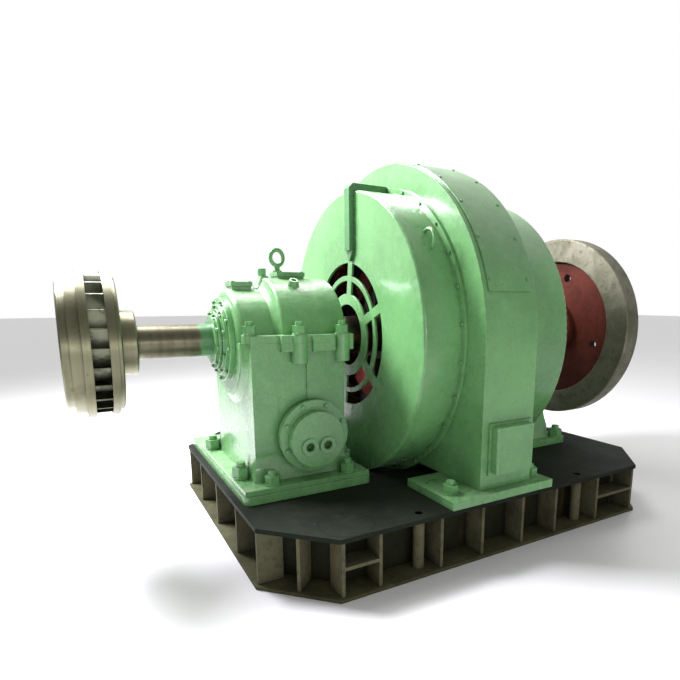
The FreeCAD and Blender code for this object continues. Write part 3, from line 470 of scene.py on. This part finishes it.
@dataclass(frozen=True)
class Primer:
    """Flat primer on plate, weathered by dirt and rust."""

    name: str
    colour: Colour
    dirt: Colour
    rust: float = 0.35
    rings: tuple[tuple[float, float, float], ...] = ()
    round_edge: float = 0.003
    dusty: float = 0.25

    def make(self) -> bpy.types.Material:
        """Mix the primer: stains, rust runs, dust above, painted shade and grime in corners, and scuffed
        edges that are partly a painted highlight.

        Returns:
            The primer.
        """
        g = Surface(self.name)
        cloud = g.noise(6.5, 7.0, rough=0.62)
        fine = g.noise(48.0, 5.0)
        runs = g.noise(1.0, 5.0, g.stretched(30.0, 30.0, 3.0))
        _, _, up = g.facing()
        soft, edge = g.edges(self.round_edge)
        tone = g.mix(cloud.rises(0.4, 0.66), self.colour, tint(self.colour, 0.6))
        tone = g.mix(fine.rises(0.5, 0.75) * 0.5, tone, self.dirt)
        rusty = runs.rises(0.6, 0.74) * (1.0 - abs(up)) * self.rust
        tone = g.mix(rusty, tone, srgb(112, 66, 38))
        tone = g.mix(up.rises(0.6, 0.95) * fine.rises(0.5, 0.9) * self.dusty, tone, srgb(84, 84, 68))
        # painted shade, partly grime: darker deep in corners
        tone = g.mix(g.corners(0.05) * 0.7, tone, tint(self.dirt, 0.3))
        # scuffed edges, partly a painted highlight: lighter along the edges
        tone = g.mix(edge * fine.rises(0.4, 0.6) * 0.5, tone, tint(self.colour, 1.6, 0.03))
        x, y, _ = g.parts(g.place)
        for cx, cy, radius in self.rings:
            away = ((x - cx) ** 2.0 + (y - cy) ** 2.0) ** 0.5
            line = abs(away - radius).rises(0.006, 0.002) * up.rises(0.8, 0.95)
            tone = g.mix(line * (0.4 + cloud * 0.5), tone, tint(self.colour, 0.35))
        rough = 0.48 + fine * 0.2 + cloud * 0.12
        return g.finish(tone, rough, fine * 0.0004 + cloud * 0.0012 + g.noise(260.0, 2.0) * 0.0001, soft,
                        shine=0.12)


@dataclass(frozen=True)
class Winding:
    """Varnished tape round coil ends."""

    name: str
    colour: Colour

    def make(self) -> bpy.types.Material:
        """Mix the tape: lapped turns, runs of varnish and dust.

        Returns:
            The tape.
        """
        g = Surface(self.name)
        wrap = g.node("ShaderNodeTexWave", {"bands_direction": "DIAGONAL"},
                      {"Vector": g.place, "Scale": 34.0, "Distortion": 2.0, "Detail": 1.0}, out="Fac")
        cloud = g.noise(12.0, 5.0)
        _, _, up = g.facing()
        tone = g.mix(cloud.rises(0.4, 0.65), self.colour, tint(self.colour, 0.45))
        tone = g.mix(wrap * 0.35, tone, tint(self.colour, 0.5))
        tone = g.mix(up.rises(0.3, 0.9) * 0.4, tone, srgb(96, 84, 76))
        return g.finish(tone, 0.34 + cloud * 0.25, wrap * 0.0012 + cloud * 0.001)


@dataclass(frozen=True)
class Laminated:
    """Stacked core sheets, seen on edge."""

    name: str
    colour: Colour

    def make(self) -> bpy.types.Material:
        """Mix the stack: fine sheets along the shaft under brown varnish.

        Returns:
            The stack.
        """
        g = Surface(self.name)
        x, _, _ = g.parts(g.place)
        sheets = g.line_noise(x, 1800.0, 0.0)
        cloud = g.noise(14.0, 5.0)
        tone = g.mix(sheets.rises(0.4, 0.6), self.colour, tint(self.colour, 0.5))
        tone = g.mix(cloud.rises(0.45, 0.7) * 0.6, tone, srgb(66, 34, 26))
        return g.finish(tone, 0.45 + cloud * 0.2, sheets * 0.0004, metal=0.4)


GREEN = srgb(106, 160, 100)
DEEP_GREEN = srgb(76, 128, 78)
MARK_RADIUS = 0.095
MARK_PLACES = ((-0.682, 0.690), (0.590, 0.700))
RING_MARKS = tuple((x, side * y, MARK_RADIUS) for side in (-1, 1) for x, y in MARK_PLACES)


class Finishes:
    """Every finish of the set, made once."""

    def __init__(self, painted: tuple[float, float], axis_height: float) -> None:
        """Make the materials.

        Args:
            painted: X where the shaft's paint starts and ends, beside the seal.
            axis_height: The shaft's height.
        """
        # painted reflection: the steel and iron colours below are set dark to stand in for the dim
        # surroundings that the metal mirrors
        steel, oil = srgb(108, 105, 86), srgb(80, 76, 60)
        self.plate = Enamel("enamel_on_plate", GREEN, Cast.PLATE).make()
        self.cast = Enamel("enamel_on_castings", GREEN, Cast.SAND).make()
        self.fittings = Enamel("enamel_on_fittings", srgb(100, 160, 96), Cast.SAND, 0.1, 0.0015).make()
        self.duct = Enamel("enamel_on_duct", DEEP_GREEN, Cast.PLATE, 0.1, 0.003).make()
        self.shaft = Turned("turned_shaft", steel, oil, axis_height, painted, DEEP_GREEN).make()
        self.runner = Turned("turned_runner", srgb(122, 121, 98), srgb(98, 96, 74), axis_height).make()
        self.vanes = Iron("cast_vanes", srgb(128, 132, 110), srgb(66, 72, 54), 0.7, axis_height).make()
        self.rim = Iron("flywheel_rim_iron", srgb(124, 122, 106), srgb(100, 100, 82), 0.85,
                        axis_height).make()
        self.web = Primer("red_oxide", srgb(88, 40, 30), srgb(42, 20, 14), 0.1).make()
        self.top = Primer("base_top_paint", srgb(26, 32, 23), srgb(16, 20, 14), 0.0, RING_MARKS).make()
        self.ribs = Primer("base_rib_primer", srgb(94, 92, 70), srgb(44, 42, 26), 0.5).make()
        self.sole = Primer("base_sole_primer", srgb(80, 80, 56), srgb(42, 40, 26), 0.4).make()
        # painted shade: a much darker copy of the rib primer for the web and cross beams deep in the bays
        self.inner = Primer("base_inner_primer_painted_shade", srgb(34, 36, 20), srgb(18, 19, 10), 0.4).make()
        self.winding = Winding("coil_tape", srgb(116, 44, 36)).make()
        self.core = Laminated("core_sheets", srgb(80, 76, 70)).make()
        self.lining = Turned("bearing_lining", srgb(150, 130, 84), srgb(104, 84, 48), axis_height).make()


# ---- mesh making ---------------------------------------------------------------------------------------
class Piece:
    """A mesh that grows by bmesh operators and ends as one piece on a body."""

    same_spot: float = 1e-5      # vertices nearer than this are merged
    sharp: float = 0.6           # edges that turn more than this many radians are bevelled
    crease: float = 35.0         # faces that meet at more than this many degrees stay sharp

    def __init__(self, name: str) -> None:
        """Start an empty mesh."""
        self.name = name
        self.bm = bmesh.new()

    def prism(self, sides: int, radius: float, depth: float, place: Matrix) -> Verts:
        """Add a closed prism along its own Z, from 0 to depth.

        Args:
            sides: Number of sides.
            radius: Radius over the corners.
            depth: Height.
            place: Where it goes.

        Returns:
            The new vertices.
        """
        lift = Matrix.Translation((0.0, 0.0, depth / 2))
        made = bmesh.ops.create_cone(self.bm, cap_ends=True, cap_tris=False, segments=sides, radius1=radius,
                                     radius2=radius, depth=depth, matrix=place @ lift)
        return made["verts"]

    def block(self, size: Sequence[float], place: Matrix) -> Verts:
        """Add a block of a size, centred on a place."""
        scale = Matrix.Diagonal((*size, 1.0))
        return bmesh.ops.create_cube(self.bm, size=1.0, matrix=place @ scale)["verts"]

    def turn(self, outline: Sequence[tuple[float, float]], place: Matrix, steps: int) -> None:
        """Spin a closed outline about the place's Z.

        Args:
            outline: Its corners as (radius, height) points.
            place: Where it goes.
            steps: Steps in the full turn.
        """
        before = set(self.bm.verts)
        ring = [self.bm.verts.new((r, 0.0, h)) for r, h in outline]
        edges = [self.bm.edges.new((ring[i], ring[(i + 1) % len(ring)])) for i in range(len(ring))]
        bmesh.ops.spin(self.bm, geom=ring + edges, cent=(0, 0, 0), axis=(0, 0, 1), angle=math.tau,
                       steps=steps, use_merge=True, use_duplicate=False)
        grown = [vert for vert in self.bm.verts if vert not in before]
        bmesh.ops.transform(self.bm, matrix=place, verts=grown)

    def soften(self, verts: Iterable[bmesh.types.BMVert], width: float) -> None:
        """Bevel the sharp edges among some vertices.

        Args:
            verts: The vertices.
            width: The bevel's width.
        """
        chosen = set(verts)
        edges = [e for e in self.bm.edges if e.verts[0] in chosen and e.verts[1] in chosen
                 and e.is_manifold and e.calc_face_angle(0.0) > self.sharp]
        bmesh.ops.bevel(self.bm, geom=edges, offset=width, offset_type="OFFSET", segments=1, profile=0.5,
                        affect="EDGES", material=-1, clamp_overlap=True)

    def finish(self, body: Body, material: bpy.types.Material, slot: str) -> bpy.types.Object:
        """Close the mesh and hand it over.

        Args:
            body: The body that it rides on.
            material: Its finish.
            slot: Not used.

        Returns:
            The new object.
        """
        bmesh.ops.remove_doubles(self.bm, verts=self.bm.verts, dist=self.same_spot)
        bmesh.ops.recalc_face_normals(self.bm, faces=self.bm.faces)
        mesh = bpy.data.meshes.new(self.name)
        self.bm.to_mesh(mesh)
        self.bm.free()
        mesh.materials.append(material)
        mesh.shade_smooth()
        mesh.set_sharp_from_angle(angle=math.radians(self.crease))
        obj = bpy.data.objects.new(self.name, mesh)
        bpy.context.scene.collection.objects.link(obj)
        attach(obj, body.value)
        LOG.info("%s: %d faces on %s", self.name, len(mesh.polygons), body.value)
        return obj


def facing(place: Sequence[float], direction: Sequence[float], spin: float = 0.0) -> Matrix:
    """Return a place whose Z points along a direction.

    Args:
        place: The origin.
        direction: Where Z points.
        spin: Turn about that Z, radians.

    Returns:
        The matrix.
    """
    turn = Vector(direction).normalized().to_track_quat("Z", "Y").to_matrix().to_4x4()
    return Matrix.Translation(place) @ turn @ Matrix.Rotation(spin, 4, "Z")


@dataclass
class Sizes:
    """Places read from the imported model."""

    axis_z: float

    def span(self, node: str) -> tuple[Vector, Vector]:
        """Return a node's lowest and highest corner."""
        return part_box(node)

    def about_shaft(self, x: float, radius: float, degrees: float) -> Vector:
        """Return a point at a radius and an angle from the top, turning towards -Y."""
        a = math.radians(degrees)
        return Vector((x, -radius * math.sin(a), self.axis_z + radius * math.cos(a)))

    def outward(self, degrees: float) -> Vector:
        """Return the direction away from the shaft at an angle from the top."""
        a = math.radians(degrees)
        return Vector((0.0, -math.sin(a), math.cos(a)))


def dress(names: Iterable[str], material: bpy.types.Material) -> None:
    """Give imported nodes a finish.

    Args:
        names: The nodes.
        material: Their finish.
    """
    for name in names:
        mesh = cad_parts[name].data
        if not mesh.materials:
            mesh.materials.append(material)
        for i in range(len(mesh.materials)):
            mesh.materials[i] = material
        LOG.info("%s: %s", name, material.name)


# ---- sub-assemblies ------------------------------------------------------------------------------------
@dataclass
class Base:
    """Ribbed base frame."""

    sizes: Sizes

    def build(self, look: Finishes) -> None:
        """Dress the frame.

        Args:
            look: The finishes.
        """
        dress(["base_top_plate"], look.top)
        dress(["base_bottom_flange"], look.sole)
        dress(["base_ribs_near", "base_ribs_far", "base_ribs_runner_end", "base_ribs_flywheel_end",
               "base_shelves", "anchor_sleeves"], look.ribs)
        # painted shade: the web and cross beams get the darkened copy of the rib primer
        dress(["base_web", "base_cross_beams"], look.inner)


@dataclass
class Pedestals:
    """The two bearing pedestals."""

    sizes: Sizes
    port_z: float = 0.404
    port_half_gap: float = 0.037
    port_bore: float = 0.0165
    port_wall: float = 0.0025
    port_lip: float = 0.004
    plate_top: float = 0.25
    dowel_y: float = 0.224
    dowel_inset: float = 0.022
    cooler_bolts: int = 8
    cooler_circle: float = 0.1265
    seal_bolts: int = 9
    seal_rows: tuple[tuple[float, float, float], ...] = (
        (0.158, 0.037, 0.0), (0.132, 0.027, 14.0), (0.107, 0.011, 5.0))
    cover_inset: float = 0.01
    cover_half_width: float = 0.038
    front_cover: tuple[float, float] = (0.078, 0.228)
    rear_cover: tuple[float, float] = (0.104, 0.271)

    def build(self, look: Finishes) -> None:
        """Dress the castings and add their screws.

        Args:
            look: The finishes.
        """
        dress(["front_pedestal_body", "front_pedestal_cap", "front_pedestal_plate", "rear_pedestal_body",
               "rear_pedestal_cap", "rear_pedestal_plate", "cooler_flange", "cooler_cover"], look.cast)
        dress(["front_seal_rings", "front_back_seal", "cap_covers", "eye_bolt", "cap_stub", "front_cap_bolts",
               "front_foot_bolts", "rear_cap_bolts", "rear_foot_bolts"], look.fittings)
        dress(["front_bush", "rear_bush"], look.lining)
        self.cooler_screws(look)
        self.seal_screws(look)
        self.cover_screws(look)
        self.port_lips(look)
        self.dowel(look)

    def port_lips(self, look: Finishes) -> None:
        """Put a raised lip round each water port.

        Args:
            look: The finishes.
        """
        low, high = self.sizes.span("cooler_cover")
        middle = (low.x + high.x) / 2
        outside = self.port_bore + self.port_wall
        outline = [(self.port_bore, -3 * self.port_lip), (outside, -3 * self.port_lip), (outside, -0.001),
                   (self.port_bore + self.port_lip, 0.0), (self.port_bore, -self.port_lip)]
        piece = Piece("port_lips")
        for side in (-1, 1):
            at = facing((middle + side * self.port_half_gap, low.y, self.port_z), (0, -1, 0))
            piece.turn(outline, at, 28)
        piece.finish(Body.FRAME, look.fittings, PAINT_SLOT)

    def dowel(self, look: Finishes) -> None:
        """Stand a dowel boss on the plate beside the far nut.

        Args:
            look: The finishes.
        """
        low, _ = self.sizes.span("front_pedestal_plate")
        piece = Piece("plate_dowel")
        at = facing((low.x + self.dowel_inset, self.dowel_y, self.plate_top), (0, 0, 1))
        piece.soften(piece.prism(20, 0.013, 0.012, at), 0.002)
        piece.soften(piece.prism(16, 0.007, 0.020, at), 0.001)
        piece.finish(Body.FRAME, look.fittings, PAINT_SLOT)

    def cooler_screws(self, look: Finishes) -> None:
        """Put hexagon screws round the cooler's flange.

        Args:
            look: The finishes.
        """
        low, high = self.sizes.span("cooler_flange")
        centre = (low + high) / 2
        piece = Piece("cooler_screws")
        for k in range(self.cooler_bolts):
            a = math.tau * (k + 0.5) / self.cooler_bolts
            out, up = self.cooler_circle * math.cos(a), self.cooler_circle * math.sin(a)
            at = facing((centre.x + out, low.y, centre.z + up), (0, -1, 0), a)
            piece.prism(16, 0.0105, 0.002, at)
            piece.soften(piece.prism(6, 0.0088, 0.009, at), 0.0008)
        piece.finish(Body.FRAME, look.fittings, PAINT_SLOT)

    def seal_screws(self, look: Finishes) -> None:
        """Put cap screws on the three steps of the seal housing.

        Args:
            look: The finishes.
        """
        low, _ = self.sizes.span("front_seal_rings")
        piece = Piece("seal_screws")
        for radius, depth, lag in self.seal_rows:
            for k in range(self.seal_bolts):
                degrees = 360 * (k + 0.5) / self.seal_bolts + lag
                at = facing(self.sizes.about_shaft(low.x + depth, radius, degrees), (-1, 0, 0))
                piece.soften(piece.prism(6, 0.0068, 0.009, at), 0.0007)
        piece.finish(Body.FRAME, look.fittings, PAINT_SLOT)

    def cover_screws(self, look: Finishes) -> None:
        """Put a screw in each corner of the two cap covers.

        Args:
            look: The finishes.
        """
        low, high = self.sizes.span("cap_covers")
        piece = Piece("cover_screws")
        rows = [(low.x, 1, *self.front_cover), (high.x, -1, *self.rear_cover)]
        for end, inward, reach, rise in rows:
            for x in (end + inward * self.cover_inset, end + inward * reach):
                for y in (-self.cover_half_width, self.cover_half_width):
                    at = facing((x, y, self.sizes.axis_z + rise), (0, 0, 1), x)
                    piece.soften(piece.prism(6, 0.0065, 0.005, at), 0.0006)
        piece.finish(Body.FRAME, look.fittings, PAINT_SLOT)


@dataclass
class Generator:
    """Stator casing, end drums, vents and windings."""

    sizes: Sizes
    coil_ends: int = 54
    coil_depth: float = 0.11
    coil_inset: float = 0.03
    coil_section: tuple[float, float] = (0.030, 0.017)
    coil_twist: float = 14.0
    coil_reach: float = 0.86
    nose: float = 0.012
    nose_slope: float = 0.006
    flange_bolts: int = 28
    flange_circle: float = 0.6375
    flange_depth: float = 0.014
    sheet_screws: int = 12
    sheet_reach: float = 72.0
    sheet_insets: tuple[float, float] = (0.012, 0.013)
    clip_heights: tuple[float, float] = (1.384, 1.209)
    clip_half_gap: float = 0.015
    lid_inset: float = 0.016
    lock_inset: float = 0.022
    lid_sink: tuple[float, float] = (0.002, 0.006)

    def build(self, look: Finishes) -> None:
        """Dress the stator and add screws and coil ends.

        Args:
            look: The finishes.
        """
        dress(["stator_casing", "casing_cover_band", "stator_foot_plates", "front_drum_face",
               "front_drum_wall", "front_vent_grille", "rear_drum_face", "rear_drum_wall",
               "rear_vent_grille", "terminal_box", "terminal_lid"], look.plate)
        dress(["conduit"], look.duct)
        dress(["stator_foot_bolts", "lifting_lugs"], look.fittings)
        dress(["stator_core"], look.core)
        self.windings(look)
        self.drum_bolts(look)
        self.sheet_edges(look)
        self.duct_clips(look)
        self.lid_fittings(look)

    def duct_clips(self, look: Finishes) -> None:
        """Hold the cable duct with strap clips, each with two screws.

        Args:
            look: The finishes.
        """
        low, high = self.sizes.span("conduit")
        middle = (low.y + high.y) / 2
        piece = Piece("duct_clips")
        for z in self.clip_heights:
            at = Matrix.Translation((low.x + 0.0145, middle, z))
            piece.soften(piece.block((0.0265, 0.050, 0.016), at), 0.0015)
            for side in (-1, 1):
                spot = facing((low.x + 0.0015, middle + side * self.clip_half_gap, z), (-1, 0, 0))
                piece.soften(piece.prism(6, 0.0045, 0.0014, spot), 0.0004)
        piece.finish(Body.FRAME, look.duct, PAINT_SLOT)

    def lid_fittings(self, look: Finishes) -> None:
        """Put corner screws and a key lock on the terminal lid.

        Args:
            look: The finishes.
        """
        low, high = self.sizes.span("terminal_lid")
        piece = Piece("lid_fittings")
        screw_sink, lock_sink = self.lid_sink
        for x in (low.x + self.lid_inset, high.x - self.lid_inset):
            for z in (low.z + self.lid_inset, high.z - self.lid_inset):
                spot = facing((x, low.y + screw_sink, z), (0, -1, 0))
                piece.soften(piece.prism(12, 0.0055, 0.0035, spot), 0.001)
        lock = facing((high.x - self.lock_inset, low.y + lock_sink, (low.z + high.z) / 2), (0, -1, 0))
        piece.soften(piece.prism(20, 0.011, 0.0065, lock), 0.001)
        piece.soften(piece.prism(4, 0.005, 0.0075, lock), 0.0008)
        piece.finish(Body.FRAME, look.fittings, PAINT_SLOT)

    def windings(self, look: Finishes) -> None:
        """Build the two baskets of coil ends in place of the plain rings.

        Args:
            look: The finishes.
        """
        low, high = self.sizes.span("stator_windings")
        core_low, core_high = self.sizes.span("stator_core")
        piece = Piece("coil_ends")
        outer = (high.z - low.z) / 2
        inner = outer - self.coil_depth
        middle = (inner + outer) / 2
        legs = ((inner + self.coil_inset, 1.0), (outer - self.coil_inset, -1.0))
        shoulder = self.coil_inset + self.nose_slope
        outline = [(inner + self.coil_inset, 0.0), (inner + shoulder, self.nose),
                   (outer - shoulder, self.nose), (outer - self.coil_inset, 0.0)]
        for root, tip in ((core_low.x, low.x), (core_high.x, high.x)):
            for k in range(self.coil_ends):
                degrees = 360 * k / self.coil_ends
                for radius, lean in legs:
                    start = self.sizes.about_shaft(root, radius, degrees)
                    end = self.sizes.about_shaft(root + (tip - root) * self.coil_reach, middle - lean * 0.01,
                                                 degrees + lean * self.coil_twist)
                    run = end - start
                    at = facing((start + end) / 2, run)
                    piece.soften(piece.block((*self.coil_section, run.length), at), 0.004)
        for root, tip in ((core_low.x, low.x), (core_high.x, high.x)):
            inward = math.copysign(self.nose, root - tip)
            piece.turn(outline, facing((tip + 2 * inward, 0.0, self.sizes.axis_z), (-inward, 0, 0)), 72)
        obj = piece.finish(Body.FRAME, look.winding, WINDING_SLOT)
        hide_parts("stator_windings")

    def drum_bolts(self, look: Finishes) -> None:
        """Put hexagon heads round the drum flanges.

        Args:
            look: The finishes.
        """
        piece = Piece("drum_flange_bolts")
        front, rear = self.sizes.span("stator_casing")
        for x, side in ((front.x, -1), (rear.x, 1)):
            for k in range(self.flange_bolts):
                degrees = 360 * (k + 0.5) / self.flange_bolts
                spot = self.sizes.about_shaft(x + side * self.flange_depth, self.flange_circle, degrees)
                at = facing(spot, (side, 0, 0), math.radians(degrees))
                piece.soften(piece.prism(6, 0.0065, 0.007, at), 0.0008)
        piece.finish(Body.FRAME, look.fittings, PAINT_SLOT)

    def sheet_edges(self, look: Finishes) -> None:
        """Put small screws along both edges of the cover sheet.

        Args:
            look: The finishes.
        """
        low, high = self.sizes.span("casing_cover_band")
        radius = high.z - self.sizes.axis_z
        piece = Piece("cover_sheet_screws")
        front_inset, rear_inset = self.sheet_insets
        for x in (low.x + front_inset, high.x - rear_inset):
            for k in range(self.sheet_screws):
                degrees = -self.sheet_reach + 2 * self.sheet_reach * k / (self.sheet_screws - 1)
                at = facing(self.sizes.about_shaft(x, radius, degrees), self.sizes.outward(degrees), x * 40)
                piece.soften(piece.prism(6, 0.0065, 0.004, at), 0.0006)
        piece.finish(Body.FRAME, look.fittings, PAINT_SLOT)


@dataclass
class Rotor:
    """Everything that turns."""

    sizes: Sizes

    def build(self, look: Finishes) -> None:
        """Dress the shaft, runner, poles and flywheel.

        Args:
            look: The finishes.
        """
        dress(["shaft", "runner_nut", "flywheel_nut"], look.shaft)
        dress(["runner_crown", "runner_band"], look.runner)
        dress(["runner_vanes"], look.vanes)
        dress(["rotor_core", "rotor_fans"], look.core)
        dress(["rotor_coils"], look.winding)
        dress(["flywheel_rim"], look.rim)
        dress(["flywheel_web", "flywheel_hub"], look.web)


# ---- studio --------------------------------------------------------------------------------------------
@dataclass(frozen=True)
class Lamp:
    """One soft rectangular light."""

    name: str
    place: tuple[float, float, float]
    aim: tuple[float, float, float]
    width: float
    height: float
    power: float
    colour: Colour = (1.0, 1.0, 1.0)

    def hang(self) -> None:
        """Put the light in the scene."""
        data = bpy.data.lights.new(self.name, "AREA")
        data.shape = "RECTANGLE"
        data.size, data.size_y = self.width, self.height
        data.energy = self.power
        data.color = self.colour
        lamp = bpy.data.objects.new(self.name, data)
        bpy.context.scene.collection.objects.link(lamp)
        run = Vector(self.aim) - Vector(self.place)
        lamp.matrix_world = Matrix.Translation(self.place) @ run.to_track_quat("-Z", "Y").to_matrix().to_4x4()


@dataclass(frozen=True)
class Studio:
    """Floor, lights and camera."""

    eye: tuple[float, float, float] = (-1.41123, -2.15269, 0.96126)
    yaw: float = 30.218
    pitch: float = 10.94
    roll: float = -0.07
    lens: float = 27.365
    sensor: float = 36.0
    shift: tuple[float, float] = (-0.0557, 0.0873)
    room: float = 0.42
    floor_size: float = 30.0
    lamps: tuple[Lamp, ...] = (
        Lamp("key", (-1.9, 1.5, 3.1), (-0.3, 0.2, 1.1), 1.2, 1.2, 400.0, (0.94, 0.92, 1.0)),
        Lamp("overhead", (-0.2, 1.2, 4.0), (-0.1, 0.0, 0.8), 3.0, 1.4, 90.0),
        Lamp("strip", (-1.2, -4.6, 0.86), (-0.6, 0.0, 0.8), 3.5, 0.08, 36.0))

    def floor(self) -> None:
        """Lay a plain pale floor."""
        piece = bmesh.new()
        bmesh.ops.create_grid(piece, x_segments=1, y_segments=1, size=self.floor_size)
        mesh = bpy.data.meshes.new("floor")
        piece.to_mesh(mesh)
        piece.free()
        g = Surface("floor_paint")
        tone = g.mix(g.noise(1.5, 2.0), (0.74, 0.74, 0.73), (0.78, 0.78, 0.78))
        mesh.materials.append(g.finish(tone, 0.4))
        obj = bpy.data.objects.new("floor", mesh)
        bpy.context.scene.collection.objects.link(obj)

    def lights(self) -> None:
        """Hang the soft lights in a white room that is dimmer on the near side."""
        world = bpy.data.worlds.new("studio")
        world.use_nodes = True
        g = Graph(world.node_tree)
        yaw = math.radians(self.yaw)
        way = g.node("ShaderNodeTexCoord", out="Generated")
        ahead = g.node("ShaderNodeVectorMath", {"operation": "DOT_PRODUCT"},
                       {0: way, 1: (math.sin(yaw), math.cos(yaw), 0.0)}, out="Value")
        room = world.node_tree.nodes["Background"].inputs
        g.feed(room["Strength"], ahead.rises(-0.1, 0.3) * (1.0 - self.room) + self.room)
        room["Color"].default_value = (1.0, 1.0, 1.0, 1.0)
        bpy.context.scene.world = world
        for lamp in self.lamps:
            lamp.hang()

    def camera(self) -> None:
        """Set up the camera."""
        yaw, pitch, roll = (math.radians(a) for a in (self.yaw, self.pitch, self.roll))
        ahead = Vector((math.sin(yaw) * math.cos(pitch), math.cos(yaw) * math.cos(pitch), -math.sin(pitch)))
        right = Vector((math.cos(yaw), -math.sin(yaw), 0.0))
        up = right.cross(ahead)
        tilt = Matrix.Rotation(roll, 3, ahead)
        right, up = tilt @ right, tilt @ up
        data = bpy.data.cameras.new("camera")
        data.lens = self.lens
        data.sensor_width = self.sensor
        data.shift_x, data.shift_y = self.shift
        data.clip_end = 100.0
        camera = bpy.data.objects.new("camera", data)
        bpy.context.scene.collection.objects.link(camera)
        turn = Matrix((right, up, -ahead)).transposed().to_4x4()
        camera.matrix_world = Matrix.Translation(self.eye) @ turn
        bpy.context.scene.camera = camera

    def build(self) -> None:
        """Make the studio."""
        bpy.context.scene.view_settings.view_transform = "Standard"
        self.floor()
        self.lights()
        self.camera()


def main() -> None:
    """Build the set and its studio."""
    logging.basicConfig(level=logging.INFO, format="%(name)s %(message)s")
    shaft_low, shaft_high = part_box("shaft")
    sizes = Sizes((shaft_low.z + shaft_high.z) / 2)
    seal_low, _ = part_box("front_seal_rings")
    look = Finishes((seal_low.x - PAINT_AHEAD, seal_low.x + PAINT_INSIDE), sizes.axis_z)
    Studio().build()
    for assembly in (Base(sizes), Pedestals(sizes), Generator(sizes), Rotor(sizes)):
        LOG.info("%s", type(assembly).__name__)
        assembly.build(look)


if __name__ == "__main__":
    main()
